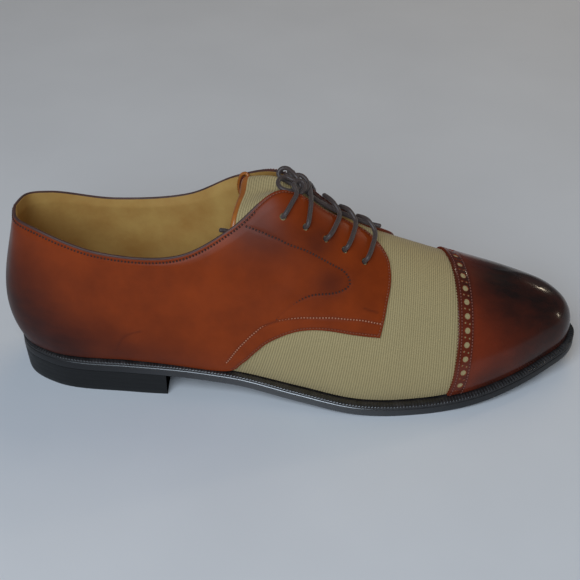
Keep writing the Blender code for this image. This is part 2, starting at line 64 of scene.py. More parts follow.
# Camera
CAMERA_PIVOT = (152.0, 0.0, 40.0)
CAMERA_DISTANCE = 650.0
CAMERA_TURN = 0.5
CAMERA_TILT = 37.0
CAMERA_AIM = (145.4, 3.3, 44.4)
CAMERA_ROLL = 0.5
CAMERA_LENS = 73.7

# Two small lamps that shine in the toe, as a name, a direction and a power
LAMPS = (("lamp_behind", (0.67, 0.57, 0.48), 0.8), ("lamp_ahead", (0.99, -0.09, 0.14), 0.6))
LAMP_AIM = (287.0, 1.0, 41.0)
LAMP_DISTANCE = 1.2
LAMP_SIZE = 0.09
LAMP_COLOUR = (1.0, 0.86, 0.66)

# Sole and heel, with the radii of the lower and the upper corner of an edge
OUTSOLE_THICK = 4.7
OUTSOLE_ROUND = (0.3, 1.0)
INSOLE_INSET = 2.2
INSOLE_RISE = 1.5
INSOLE_ROUND = (0.8, 0.8)
WELT_THICK = 2.3
WELT_TUCK = 3.0
PIECE_GAP = 0.3
# The welt's profile from its lower edge over its lip to its top, as (growth, height, share of the cut)
WELT_PROFILE = (
    (-1.1, 0.5, 0.0), (-0.25, 0.0, 0.0), (-0.05, 0.25, 0.0), (0.02, 0.7, 0.0),
    (-0.05, 1.1, 0.2), (-0.3, 1.45, 0.5), (-0.8, 1.75, 0.9), (-1.6, 2.05, 1.0),
    (-2.4, 2.3, 1.0), (-3.4, 2.3, 0.5), (-4.7, 2.0, 0.0),
)
WHEEL_PITCH = 1.7
WHEEL_DEPTH = 0.42
WHEEL_SAMPLES = 6
HEEL_BREAST = 80.0
HEEL_HOLLOW = 4.0
HEEL_TAPER = 1.2
HEEL_LIFTS = 4
# Where the heel block is measured, its gap to the sole and how far its top draws in
HEEL_AT = 20.0
HEEL_GAP = 0.05
HEEL_TOP_INSET = 4.0
# Foot of the heel block, as (inset, height), and the groove at the top of a lift, as (inset, drop)
HEEL_FOOT = ((1.0, 0.0), (0.25, 0.25), (0.0, 0.9))
HEEL_GROOVE = ((0.01, 0.16), (0.02, 0.08), (0.01, 0.0))
# Where the edges shine most along the sole, how far from there, and the least share of the shine
GLOSS_AT, GLOSS_REACH, GLOSS_LEAST = 145.0, 70.0, 0.05

# Layers of the upper, as heights over the wall
LINING_LOW = -1.6
LINING_TOP = -0.3
VAMP_LOW = -0.28
PANEL_LOW = -0.25
PANEL_TOP = 1.5
RIM_LOW = 0.05
# Depth under the top line where the collar starts to thin, for a wall of this height
COLLAR_TAPER, WALL_HEIGHT = 7.0, 85.0
# How much the lining and a quarter thin there, and how far forward in u
LINING_THIN, LINING_THIN_TO = 0.8, 0.6
PANEL_THIN, PANEL_THIN_TO = 0.6, 0.55
# The folded edge of the collar: its ends in u, level, lift, radius and the length of its tips in u
FOLD_FROM, FOLD_TO = -0.66, 0.50
FOLD_LEVEL, FOLD_LIFT, FOLD_RADIUS, FOLD_TIP = 0.997, 0.1, 0.8, 0.03
# Where the throat has closed, in u
CLOSED_FROM = 0.73

# Ribs of the cloth
RIB_PITCH = 1.33
RIB_HEIGHT = 0.12
RIB_SAMPLES = 5
RIB_FROM, RIB_TO = 100.0, 250.0
RIB_LEAN_X, RIB_LEAN = (130.0, 230.0), (0.27, 0.03)
# Reach of the ribs on the vamp, in u
VAMP_FROM, VAMP_TO = 0.28, 0.985

# Stitches: a plain one's size, how flat it is, how it arches and how it sinks in
STITCH_PITCH = 1.6
DOT_PITCH = 1.75
STITCH_LENGTH = 1.12
STITCH_RADIUS = 0.2
STITCH_FLAT = 1.25
STITCH_ARCH = 0.16
STITCH_SINK = 0.05
# Length, width and height of a light and of a dark stitch, as shares of a plain one's
LIGHT_STITCH = (0.9, 1.5, 1.4)
DARK_STITCH = (0.9, 2.2, 1.8)
# The grooves of the rows, the deeper one of the lower seam, and the creases with their painted shade
GROOVE_DEPTH, GROOVE_WIDTH = 0.22, 0.75
SEAM_DEPTH, SEAM_WIDTH = 0.15, 0.9
CREASE_DEPTH, CREASE_WIDTH, CREASE_TONE = 0.1, 0.5, 0.5
EDGE_INSET = 1.4
COLLAR_INSET = 2.0
# For the rows of the edge, the collar, the lower seam and the facing: how dark the painted shade
# in the groove is, how far the stitches sink under it and how far apart they are
ROW_TONES = (0.6, 0.15, 0.75, 0.10)
ROW_SINKS = (0.0, 0.3, 0.15, 0.0)
ROW_PITCHES = (STITCH_PITCH, DOT_PITCH, STITCH_PITCH, DOT_PITCH)
# Width of the painted shade along each row of stitches
TONE_WIDTH = 0.45
# Rim of a quarter: the width of its rounding, and the strength and width of the painted shade along it
RIM_ROUND = 0.7
RIM_SHADE, RIM_SHADE_WIDTH = 0.35, 0.6

# Brogue of the cap, as distances from its edge
GIMP_PITCH = 1.6
GIMP_DEPTH = 0.7
GIMP_FADE = 1.2
BROGUE_HOLES = 5.2
BROGUE_PITCH = 7.5
BROGUE_RADIUS = 1.65
BROGUE_DEPTH = 0.55
PINHOLE_RADIUS = 0.52
PINHOLE_APART = 1.25
# How far the holes and the pinholes stay from the welt
BROGUE_CLEAR, PINHOLE_CLEAR = 3.0, 2.0
CAP_ROWS = (2.0, 8.2)
# The cap's stitch grooves, as depth and width, then the painted shade in them, as strength and width
CAP_GROOVE, CAP_GROOVE_WIDTH = 0.2, 0.55
CAP_TONE, CAP_TONE_WIDTH = 0.7, 0.4
CAP_RIM_LEAD, CAP_RIM_ROUND = 0.12, 0.6
# The darker band along the edge: its strength, where it ends and how fast
BAND_DARK, BAND_END, BAND_FADE = 0.35, 9.2, 0.8
# Lines of the cap's mesh near its edge, and the reach of the brogue in u
CAP_LINES = np.array([0, 0.3, 0.7, 1.2, 2.0, 2.8, 3.6, 4.4, 5.2, 6.0, 6.8, 7.6, 8.2, 9.0, 10.2])
CAP_REACH = 0.16
# The cloth behind the holes: its lines to both sides of them, its levels in v and its thickness
BACKING_LINES = (-2.0, -1.0, 0.0, 1.0, 2.0)
BACKING_FROM, BACKING_TO = 0.02, 0.985
BACKING_THICK = 0.15
# The pins that cut the holes, and how far they reach under the wall
PIN_LENGTH = 6.0
PIN_SINK = 0.8

# Lace
LACE_RADIUS = 1.2
LACE_SIDES = 14
LACE_STEP = 0.35
LACE_STRANDS = 3
LACE_BRAID = 0.05
LACE_BRAID_PITCH = 2.4
# Length of a lace's rounded tip as a share of its radius, and a direction in which no lace starts
LACE_TIP = 0.8
LACE_ASIDE = (0.3, 0.5, 0.8)
EYELET_RADIUS = 1.9
# The knot's middle, and how far to its sides the top bar ends
KNOT_AT = np.array([148.6, 2.0, 112.4])
KNOT_REACH = 2.4
# Heights of a bar inside its hole and at its mouth, and the outer side's share of its middle
BAR_START, BAR_MOUTH = -2.6, 0.6
BAR_MIDDLE = 0.6
# How far in and up from the facing the top bar passes
TOP_BAR_IN, TOP_BAR_UP = 2.2, 3.4

# Sections from heel to toe: the feather edge in plan on both sides, and how far the welt stands out
Plan = namedtuple("Plan", "at outer_x outer_y inner_x inner_y welt")
PLAN = (
    Plan(0.00, -1.0, 0.0, -1.0, 0.0, 2.0),
    Plan(0.05, 3.4, -15.0, 3.4, 15.0, 2.3),
    Plan(0.11, 19.0, -26.2, 19.0, 26.0, 2.6),
    Plan(0.22, 60.0, -31.5, 60.0, 30.5, 3.2),
    Plan(0.33, 98.0, -34.0, 100.0, 25.5, 2.6),
    Plan(0.42, 122.0, -35.0, 126.0, 24.0, 3.2),
    Plan(0.51, 150.0, -39.0, 156.0, 29.0, 4.3),
    Plan(0.62, 184.0, -44.3, 192.0, 38.5, 4.5),
    Plan(0.73, 220.0, -40.6, 229.0, 43.0, 5.0),
    Plan(0.84, 254.0, -30.5, 262.0, 38.0, 5.3),
    Plan(0.93, 284.0, -13.0, 287.0, 25.0, 5.0),
    Plan(0.968, 295.6, -3.6, 295.6, 17.4, 5.0),
    Plan(1.00, 299.5, 7.0, 299.5, 7.0, 5.0),
)
# The top line at each section: collar, then the facing edges, then the ridge where the sides meet
TopLine = namedtuple("TopLine", "x y gap outer_z inner_z")
TOP_LINE = (
    TopLine(2.0, 0.0, 0.0, 98.0, 98.0),
    TopLine(5.0, 0.0, 24.0, 98.4, 97.0),
    TopLine(16.0, 0.0, 40.0, 97.0, 94.0),
    TopLine(50.0, 0.0, 56.0, 88.0, 85.5),
    TopLine(90.0, 0.5, 55.0, 86.8, 89.5),
    TopLine(116.0, 1.5, 44.0, 99.6, 104.0),
    TopLine(139.0, 2.0, 22.0, 115.0, 113.5),
    TopLine(166.0, 3.0, 8.0, 97.0, 97.0),
    TopLine(190.0, 5.0, 0.0, 82.4, 82.4),
    TopLine(224.0, 8.0, 0.0, 66.2, 66.2),
    TopLine(252.0, 9.5, 0.0, 56.4, 56.4),
    TopLine(263.0, 9.5, 0.0, 54.0, 54.0),
    TopLine(268.0, 9.5, 0.0, 52.3, 52.3),
)
# The rib from feather to top line: its lower handle goes out and up, its upper one over and down
Rib = namedtuple("Rib", "outer_out outer_up inner_out inner_up over outer_drop inner_drop")
RIBS = (
    Rib(14.0, 28.0, 14.0, 28.0, 3.0, 26.0, 26.0),
    Rib(13.0, 28.0, 13.0, 28.0, 3.0, 26.0, 26.0),
    Rib(9.0, 29.0, 9.0, 29.0, 3.0, 24.0, 24.0),
    Rib(7.0, 26.0, 5.0, 26.0, 4.0, 18.0, 18.0),
    Rib(7.0, 24.0, 5.0, 26.0, 8.0, 18.0, 18.0),
    Rib(7.0, 25.0, 5.0, 28.0, 12.0, 20.0, 20.0),
    Rib(7.0, 26.0, 5.0, 30.0, 18.0, 16.0, 20.0),
    Rib(6.0, 25.0, 5.0, 28.0, 22.0, 6.0, 20.0),
    Rib(5.0, 24.4, 5.0, 30.0, 23.5, 6.2, 10.0),
    Rib(4.0, 23.3, 4.0, 31.0, 24.3, 5.5, 8.2),
    Rib(3.0, 21.2, 3.0, 24.1, 22.1, 4.6, 5.2),
    Rib(3.0, 20.5, 3.0, 21.6, 20.2, 5.7, 5.9),
    Rib(3.0, 20.4, 3.0, 20.4, 19.9, 6.7, 6.7),
)
# Underside of the sole along its length, as (x, z)
UNDERSIDE = np.array((
    (-5.0, 14.6), (38.0, 14.6), (80.0, 14.2), (116.0, 10.4), (153.0, 4.6), (184.0, 0.9),
    (200.0, 0.0), (222.0, 0.0), (236.0, 0.9), (263.0, 4.2), (288.0, 9.0), (306.0, 13.6),
))

# Edges of a quarter, as (u, v)
QUARTER_LOWER = (
    (0.0, 0.0), (0.20, 0.0), (0.385, 0.0), (0.422, 0.117), (0.446, 0.216),
    (0.469, 0.283), (0.512, 0.340), (0.578, 0.379), (0.662, 0.384),
)
QUARTER_FRONT = (
    (0.662, 0.384), (0.685, 0.524), (0.715, 0.702), (0.723, 0.803),
    (0.716, 0.894), (0.697, 0.960), (0.655, 0.990),
)
QUARTER_TOP = ((0.0, 1.0), (0.30, 1.0), (0.60, 1.0), (0.655, 0.990))
# Half of the back seam's gap, in u
SEAM_HALF = 0.0003
# Rows of stitches on a quarter, as (u, v), and the ends in u of those along its edges
LOWER_ROW_START = 0.40
EDGE_ROW_END = 0.44
COLLAR_ROW_START, COLLAR_ROW_END = 0.004, 0.46
SECOND_ROW = (
    (0.387, 0.100), (0.420, 0.262), (0.444, 0.341), (0.464, 0.382), (0.482, 0.395),
    (0.514, 0.407), (0.547, 0.420), (0.591, 0.445), (0.635, 0.455), (0.666, 0.449),
)
FACING_ROW = (
    (0.446, 0.938), (0.468, 0.845), (0.495, 0.760), (0.523, 0.709), (0.553, 0.692),
    (0.584, 0.676), (0.612, 0.661), (0.622, 0.630), (0.621, 0.603), (0.607, 0.572),
    (0.586, 0.545), (0.551, 0.516), (0.516, 0.471), (0.493, 0.430), (0.484, 0.406),
)
# Fine creases of the leather, as (u, v)
CREASES = (
    ((0.206, 0.105), (0.214, 0.185), (0.222, 0.240), (0.234, 0.280), (0.248, 0.310)),
    ((0.641, 0.510), (0.654, 0.503), (0.665, 0.498)),
)
# Dark spots of the burnish, as a place, a size in millimetres and a strength
Spot = namedtuple("Spot", "u v size strength")
QUARTER_SPOTS = (
    Spot(0.000, 0.35, 38.0, 0.97),
    Spot(0.030, 0.25, 30.0, 0.72),
    Spot(0.075, 0.10, 28.0, 0.75),
    Spot(0.135, 0.06, 21.0, 0.75),
    Spot(0.200, 0.03, 20.0, 0.35),
    Spot(0.270, 0.00, 18.0, 0.30),
    Spot(0.460, 0.859, 12.0, 0.50),
    Spot(0.500, 0.739, 12.0, 0.35),
    Spot(0.571, 0.751, 10.0, 0.60),
    Spot(0.586, 0.588, 9.0, 0.55),
)
CAP_SPOTS = (
    Spot(0.925, 0.84, 24.0, 0.95),
    Spot(0.985, 0.72, 24.0, 0.85),
    Spot(0.985, 0.35, 30.0, 0.88),
    Spot(0.895, 0.55, 12.0, 0.45),
    Spot(0.915, 0.02, 22.0, 0.85),
    Spot(0.840, 0.00, 16.0, 0.80),
    Spot(-0.930, 0.70, 26.0, 0.90),
)
# Soft swells of a quarter over its lower seam, with their heights as strengths
SWELLS = (
    Spot(0.462, 0.450, 8.0, 0.7),
    Spot(0.500, 0.470, 8.0, 0.6),
)
# Painted shade along the inner facing, the far one: its strength, its width and where it starts in u
FACING_SHADE, FACING_SHADE_WIDTH, FACING_SHADE_FROM = 0.85, 2.4, 0.5
# Seam of the toe cap, as (v, outer u, inner u)
CAP_SEAM = np.array((
    (0.000, 0.763, 0.7145), (0.256, 0.783, 0.728), (0.431, 0.800, 0.750), (0.651, 0.823, 0.789),
    (0.790, 0.838, 0.817), (0.900, 0.850, 0.8395), (1.000, 0.861, 0.861),
))
# Lace holes on each side, from the top of the throat to the toe
EYELETS = ((0.511, 0.849), (0.551, 0.806), (0.589, 0.787), (0.625, 0.766), (0.663, 0.731))
# How each lace bar leans to the toe on both sides, its share of the way up on the leather, and its arch
Bar = namedtuple("Bar", "outer_lean inner_lean climb rise")
BARS = (
    Bar(0.030, 0.020, 0.90, 0.0),
    Bar(0.017, 0.012, 0.90, 1.2),
    Bar(0.040, 0.007, 0.90, 3.2),
    Bar(0.042, 0.007, 0.86, 3.8),
    Bar(0.046, 0.006, 0.74, 4.4),
)
# Shares of a bar's climb, lean and arch from inside its hole to where it leaves the leather,
# and the share of its arch beyond
BAR_CLIMB = np.array([0.0, 0.0, 0.03, 0.5, 1.0])
BAR_LEAN = np.array([0.0, 0.0, 0.03, 0.6, 1.0])
BAR_ARCH = np.array([0.0, 0.0, 0.0, 0.1, 0.35])
BAR_CROWN = 0.65
# The tongue's crown and how far down the sides it reaches, as (section, crown z, side v)
TONGUE = np.array((
    (0.432, 106.6, 0.95), (0.510, 108.6, 0.92), (0.620, 94.8, 0.90), (0.730, 79.4, 0.90), (0.760, 75.0, 0.90),
))
TONGUE_DEPTH = 2.5
TONGUE_THICK = 2.0
TONGUE_TOP = 0.985
TONGUE_COLUMNS = 33
# How far the rear edge of the tongue leans to the heel on the outer side and to the toe on the inner one
TONGUE_LEAN = (-0.010, 0.022)
# The binding's half width and half thickness, how far it stands back, and its step in u for directions
BINDING_WIDE = 1.9
BINDING_THICK = 1.35
BINDING_BACK = 0.5
BINDING_STEP = 0.013
BINDING_RINGS, BINDING_SIDES = 60, 14

# The knot, then the free lace: both loops of the bow and the end tucked under the bars
KNOT = (
    (146.2, 5.0, 115.6), (148.8, 6.0, 116.0), (151.1, 6.0, 115.4), (153.0, 5.0, 114.0),
    (154.0, 3.2, 112.6), (153.6, 0.8, 111.2), (151.2, -2.0, 110.8), (148.6, -3.4, 111.8),
    (147.0, -1.4, 113.8), (148.6, 1.4, 115.4), (151.4, 1.8, 114.6), (152.6, -0.4, 113.0),
    (151.2, -3.4, 111.6), (149.2, -5.0, 110.4),
)
LOOP_SMALL = (
    (150.6, 0.6, 111.6), (149.6, 2.6, 114.4), (147.4, 4.6, 116.7), (145.6, 6.6, 117.6),
    (143.6, 8.4, 118.2), (141.6, 9.2, 118.0), (139.6, 8.8, 117.0), (138.8, 7.6, 115.4),
    (140.2, 6.6, 113.8), (143.0, 5.6, 112.4), (145.6, 4.2, 112.0), (148.6, 2.2, 111.6),
    (151.0, 0.8, 111.0),
)
LOOP_FLAT = (
    (150.8, 2.6, 112.4), (148.2, 1.4, 114.9), (145.4, 1.6, 116.2), (143.6, 2.4, 116.7),
    (141.4, 1.8, 117.0), (139.6, 0.0, 116.8), (139.0, -3.0, 116.2), (140.4, -5.6, 115.3),
    (142.9, -6.6, 114.5), (145.6, -6.0, 113.8), (147.9, -4.0, 113.2), (149.8, -1.2, 112.2),
    (151.6, 0.6, 111.4),
)
TUCKED_END = (
    (150.0, 2.0, 112.0), (153.4, 1.6, 108.8), (158.9, 1.4, 103.9), (162.5, 1.6, 101.5),
    (167.2, 2.0, 98.4), (172.7, 3.0, 94.9), (177.2, 4.0, 92.2), (181.0, 4.6, 90.3), (186.0, 4.8, 88.2),
    (193.2, 4.4, 86.6),
)
# The end inside the collar, as (u, v, depth under the wall)
COLLAR_END = (
    (0.500, 0.830, 3.4), (0.470, 0.838, 3.4), (0.446, 0.860, 4.4), (0.430, 0.910, 5.8),
    (0.418, 0.965, 6.4), (0.409, 1.005, 6.2), (0.398, 1.040, 5.4),
)
# The inner corner of the tongue, rolled back against the lining: its rim, and a thin dark sheet inside it
# that is painted shade
TONGUE_ROLL = (
    (121.6, 15.6, 105.2), (122.6, 18.0, 107.0), (121.4, 19.4, 108.2), (119.4, 20.0, 107.4),
    (117.8, 20.2, 103.8), (117.4, 20.0, 99.8), (118.2, 18.6, 95.8),
)
ROLL_RADIUS = 0.95
ROLL_INSIDE = ((120.8, 18.8, 107.0), (119.4, 19.6, 102.6), (118.6, 18.8, 96.6))
ROLL_WIDE, ROLL_THICK, ROLL_TIP = 1.9, 0.4, 5.0
ROLL_STEP, ROLL_SIDES = 0.4, 14


def smooth(knots, values, at):
    """Values of a smooth curve through the knots, its slope at each one taken from its neighbours."""
    knots = np.asarray(knots, float)
    values = np.asarray(values, float).reshape(len(knots), -1)
    width = np.diff(knots)[:, None]
    slope = np.diff(values, axis=0) / width
    inside = (slope[:-1] * width[1:] + slope[1:] * width[:-1]) / (width[:-1] + width[1:])
    tangent = np.concatenate([slope[:1], inside, slope[-1:]])
    at = np.asarray(at, float)
    i = np.clip(np.searchsorted(knots, at, side="right") - 1, 0, len(knots) - 2)
    step = width[i]
    t = (at - knots[i])[..., None] / step
    start = (1 + 2 * t) * (1 - t) ** 2 * values[i] + t * (1 - t) ** 2 * step * tangent[i]
    end = t * t * (3 - 2 * t) * values[i + 1] + t * t * (t - 1) * step * tangent[i + 1]
    return start + end


def unit(vectors):
    return vectors / np.maximum(np.linalg.norm(vectors, axis=-1, keepdims=True), 1e-9)


def lengths(points):
    """Distance along a run of points, from zero."""
    return np.concatenate([[0], np.cumsum(np.linalg.norm(np.diff(points, axis=0), axis=1))])


def row_lengths(grid):
    """Distance along each row of a grid of points, from zero."""
    steps = np.linalg.norm(np.diff(grid, axis=1), axis=2)
    return np.concatenate([np.zeros((len(grid), 1)), np.cumsum(steps, axis=1)], axis=1)


def sampled(at, reach, rows):
    """The rows of a table at distances along it."""
    return np.stack([np.interp(at, reach, column) for column in rows.T], axis=-1)


def bell(distance, width):
    """A soft bump that is 1 at no distance and fades over the width."""
    return np.exp(-(distance / width) ** 2)


def rounded(share):
    """Height of a round corner at a share of its width."""
    return np.sqrt(1 - (1 - np.clip(share, 0, 1)) ** 2)


def wave(distance, pitch):
    """A wave between 0 and 1 with a crest at every pitch."""
    return 0.5 + 0.5 * np.cos(2 * math.pi * distance / pitch)


def round_table():
    """Knots and columns of the section tables, once round the shoe and a little past both ends."""
    rows = {}
    for plan, top, rib in zip(PLAN, TOP_LINE, RIBS):
        rows[-plan.at] = (
            plan.inner_x, plan.inner_y, plan.welt, top.x, top.y, top.gap,
            top.inner_z, rib.inner_out, rib.inner_up, rib.over, rib.inner_drop,
        )
        rows[plan.at] = (
            plan.outer_x, plan.outer_y, plan.welt, top.x, top.y, top.gap,
            top.outer_z, rib.outer_out, rib.outer_up, rib.over, rib.outer_drop,
        )
    knots = np.array(sorted(rows))
    columns = np.array([rows[knot] for knot in knots])
    knots = np.concatenate([knots[-4:-1] - 2, knots, knots[1:4] + 2])
    columns = np.concatenate([columns[-4:-1], columns, columns[1:4]])
    return knots, columns


KNOTS, COLUMNS = round_table()


def last(u):
    """The section columns at u."""
    return smooth(KNOTS, COLUMNS, u)


def edge(u, share=0.0, grow=0.0):
    """The feather edge in plan, moved out by a share of the welt and by grow, and its way out."""
    columns = last(u)
    tangent = unit(last(np.asarray(u) + NUDGE)[..., :2] - last(np.asarray(u) - NUDGE)[..., :2])
    out = np.stack([tangent[..., 1], -tangent[..., 0]], axis=-1)
    return columns[..., :2] + out * (columns[..., 2:3] * share + grow), out


def underside(x):
    x = np.clip(x, UNDERSIDE[0, 0], UNDERSIDE[-1, 0])
    return np.maximum(smooth(UNDERSIDE[:, 0], UNDERSIDE[:, 1], x)[..., 0], 0.0)


def seat(x):
    """Height of the feather edge, on top of outsole and welt."""
    return underside(x) + OUTSOLE_THICK + WELT_THICK + 2 * PIECE_GAP


def wall(u, v):
    """Outer face of the upper, as points."""
    u, v = np.broadcast_arrays(np.asarray(u, float), np.asarray(v, float))
    columns = last(u)
    foot, out = edge(u)
    low = np.concatenate([foot, seat(foot[..., 0])[..., None]], axis=-1)
    half_gap = np.maximum(columns[..., 5], 0.0) / 2
    top = np.stack([columns[..., 3], columns[..., 4] - np.sign(u) * half_gap, columns[..., 6]], axis=-1)
    rise = np.array([0.0, 0.0, 1.0])
    out = np.concatenate([out, np.zeros_like(out[..., :1])], axis=-1)
    handle_low = low + out * columns[..., 7:8] + rise * columns[..., 8:9]
    down = unit((low - top) * [1.0, 1.0, 0.0])
    handle_top = top + down * columns[..., 9:10] - rise * columns[..., 10:11]
    v = v[..., None]
    lower = (1 - v) ** 3 * low + 3 * (1 - v) ** 2 * v * handle_low
    return lower + 3 * (1 - v) * v * v * handle_top + v ** 3 * top


def wall_slopes(u, v):
    """How the wall moves along u and along v."""
    v = np.clip(v, NUDGE, SLOPE_TOP)
    along = (wall(np.asarray(u) + NUDGE, v) - wall(np.asarray(u) - NUDGE, v)) / (2 * NUDGE)
    upward = (wall(u, v + NUDGE) - wall(u, v - NUDGE)) / (2 * NUDGE)
    return along, upward


def wall_out(u, v):
    """Outward normal of the upper at (u, v)."""
    return unit(np.cross(*wall_slopes(u, v)))


def lifted(u, v, lift):
    return wall(u, v) + wall_out(u, v) * np.broadcast_to(np.asarray(lift, float), np.shape(u))[..., None]


def on_wall(places):
    return wall(places[:, 0], places[:, 1])


def along_edge(rows, shares):
    """The (u, v) places at shares of the length of an edge."""
    table = np.array(rows)
    reach = lengths(table)
    return smooth(reach, table, np.asarray(shares) * reach[-1])


def spread(route, step):
    """Points a step apart on a smooth curve through a route."""
    route = np.array(route, float)
    reach = lengths(route)
    fine = smooth(reach, route, np.linspace(0, reach[-1], 40 * len(route)))
    reach = lengths(fine)
    count = max(4, int(round(reach[-1] / step)) + 1)
    return sampled(np.linspace(0, reach[-1], count), reach, fine)


def shifted(places, distance):
    """A run of places moved sideways on the wall, to the left of its direction seen from outside."""
    along, upward = wall_slopes(places[:, 0], places[:, 1])
    ahead = unit(np.gradient(on_wall(places), axis=0))
    move = unit(np.cross(wall_out(places[:, 0], places[:, 1]), ahead)) * distance
    axes = np.stack([along, upward], axis=-1)
    steps = np.linalg.solve(np.swapaxes(axes, 1, 2) @ axes, np.swapaxes(axes, 1, 2) @ move[..., None])
    return places + steps[..., 0]


def distance_to(points, runs):
    """Distance from each point to the nearest of several runs of points."""
    marks = np.concatenate(runs)
    tree = KDTree(len(marks))
    for number, mark in enumerate(marks):
        tree.insert(mark, number)
    tree.balance()
    return np.array([tree.find(point)[2] for point in points.reshape(-1, 3)]).reshape(points.shape[:-1])


def to_frame(points):
    return (np.asarray(points, float) - ORIGIN) * MM


# Meshes


def grid_faces(rows, columns, start=0):
    number = np.arange(rows * columns).reshape(rows, columns) + start
    corners = [number[:-1, :-1], number[1:, :-1], number[1:, 1:], number[:-1, 1:]]
    return np.stack(corners, axis=-1).reshape(-1, 4)


def weld_map(points):
    """The first point of each place, and the number of its place for each point."""
    whole = np.round(points / WELD).astype(np.int64)
    _, first, index = np.unique(whole, axis=0, return_index=True, return_inverse=True)
    return first, index.reshape(-1)


def unfolded(faces):
    """Faces with their repeated corners dropped."""
    found = (list(dict.fromkeys(face)) for face in faces.tolist())
    return [face for face in found if len(face) > 2]


def tube(path, first, second, sides, wide, thick, size=1.0):
    """Rings of points round a path, wide in the first direction and thick in the second."""
    angle = np.linspace(0, 2 * math.pi, sides + 1)[:-1, None]
    ring = first[:, None] * (wide * np.cos(angle)) + second[:, None] * (thick * np.sin(angle))
    return path[:, None] + size * ring


def loft(rings, wrap=False):
    """Points and faces through closed rings, or round a band of them, and the numbers of its points."""
    closed = np.concatenate([rings, rings[:, :1]], axis=1)
    if wrap:
        closed = np.concatenate([closed, closed[:1]])
    points = closed.reshape(-1, 3)
    first, index = weld_map(points)
    rows, columns = closed.shape[:2]
    return points[first], unfolded(index[grid_faces(rows, columns)]), index.reshape(rows, columns)


def add_object(name, data):
    made = bpy.data.objects.new(name, data)
    bpy.context.scene.collection.objects.link(made)
    return made


def shade(mesh, sharp):
    mesh.shade_smooth()
    mesh.set_sharp_from_angle(angle=math.radians(sharp))


def add_piece(name, points, faces, finish, stands_for=(), marks=None, sharp=SHARP):
    """A piece of the shoe from points in millimetres, riding on the frame."""
    mesh = bpy.data.meshes.new(name)
    mesh.from_pydata(to_frame(points).tolist(), [], faces)
    for mark, values in (marks or {}).items():
        mesh.attributes.new(mark, "FLOAT", "POINT").data.foreach_set("value", values.astype(np.float32))
    shade(mesh, sharp)
    mesh.materials.append(finish)
    made = add_object(name, mesh)
    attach(made, "root")
    if stands_for:
        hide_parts(*stands_for)
    return made


def face_out(piece):
    sheet = bmesh.new()
    sheet.from_mesh(piece.data)
    bmesh.ops.recalc_face_normals(sheet, faces=sheet.faces)
    sheet.to_mesh(piece.data)
    sheet.free()
    return piece


def add_loft(name, rings, finish, stands_for=(), gloss=0.0, sharp=SHARP, wrap=False):
    """A piece through closed rings of points, with a share of the gloss along the sole."""
    points, faces, _ = loft(rings, wrap)
    marks = gloss_of(points, gloss) if gloss else None
    return face_out(add_piece(name, points, faces, finish, stands_for, marks, sharp))


def add_slab(name, sheets, faces, finish, stands_for=(), marks=None):
    """A piece that is closed between an upper and a lower sheet with the same faces."""
    top, low = (sheet.reshape(-1, 3) for sheet in sheets)
    first, index = weld_map(top)
    count = len(first)
    total = np.zeros((count, 3))
    np.add.at(total, index, low)
    under = total / np.bincount(index)[:, None]
    over = unfolded(index[faces])
    edges = {(a, b) for face in over for a, b in zip(face, face[1:] + face[:1])}
    rim = [[b, a, a + count, b + count] for a, b in sorted(edges) if (b, a) not in edges]
    below = [[corner + count for corner in reversed(face)] for face in over]
    points = np.concatenate([top[first], under])
    marks = {mark: np.tile(values.reshape(-1)[first], 2) for mark, values in (marks or {}).items()}
    return add_piece(name, points, over + below + rim, finish, stands_for, marks)


def pin_cutter(pins):
    """Pins across the wall as one cutter, from (place, radius, sides) rows."""
    sheet = bmesh.new()
    for (u, v), radius, sides in pins:
        verts = bmesh.ops.create_cone(
            sheet, cap_ends=True, segments=sides, depth=PIN_LENGTH * MM,
            radius1=radius * MM, radius2=radius * MM,
        )["verts"]
        turn = Vector(wall_out(u, v)).to_track_quat("Z", "Y").to_matrix()
        bmesh.ops.rotate(sheet, verts=verts, cent=(0, 0, 0), matrix=turn)
        middle = to_frame(lifted(u, v, PIN_LENGTH / 2 - PIN_SINK))
        bmesh.ops.translate(sheet, verts=verts, vec=Vector(middle))
    mesh = bpy.data.meshes.new("pins")
    sheet.to_mesh(mesh)
    sheet.free()
    return add_object("pins", mesh)


def pierce(piece, pins):
    """Cuts pins out of a piece."""
    cutter = pin_cutter(pins)
    cut = piece.modifiers.new("holes", "BOOLEAN")
    cut.operation = "DIFFERENCE"
    cut.solver = "MANIFOLD"
    cut.object = cutter
    bpy.context.view_layer.update()
    evaluated = piece.evaluated_get(bpy.context.evaluated_depsgraph_get())
    mesh = bpy.data.meshes.new_from_object(evaluated)
    piece.modifiers.clear()
    piece.data = mesh
    shade(mesh, SHARP)
    bpy.data.objects.remove(cutter, do_unlink=True)


def stitch_shape():
    """One stitch along X: a thread that rises out of the leather and goes back in."""
    at = np.linspace(-1, 1, 7)
    girth = np.sqrt(np.maximum(1 - at ** 6, 0))
    angle = np.linspace(0, 2 * math.pi, 7)[:-1]
    rise = STITCH_ARCH * (1 - at ** 2) - STITCH_SINK
    points = np.stack(np.broadcast_arrays(
        at[:, None] * STITCH_LENGTH / 2,
        girth[:, None] * np.cos(angle) * STITCH_RADIUS * STITCH_FLAT,
        girth[:, None] * np.sin(angle) * STITCH_RADIUS + rise[:, None],
    ), axis=-1)
    shape, faces, _ = loft(points)
    return shape, faces


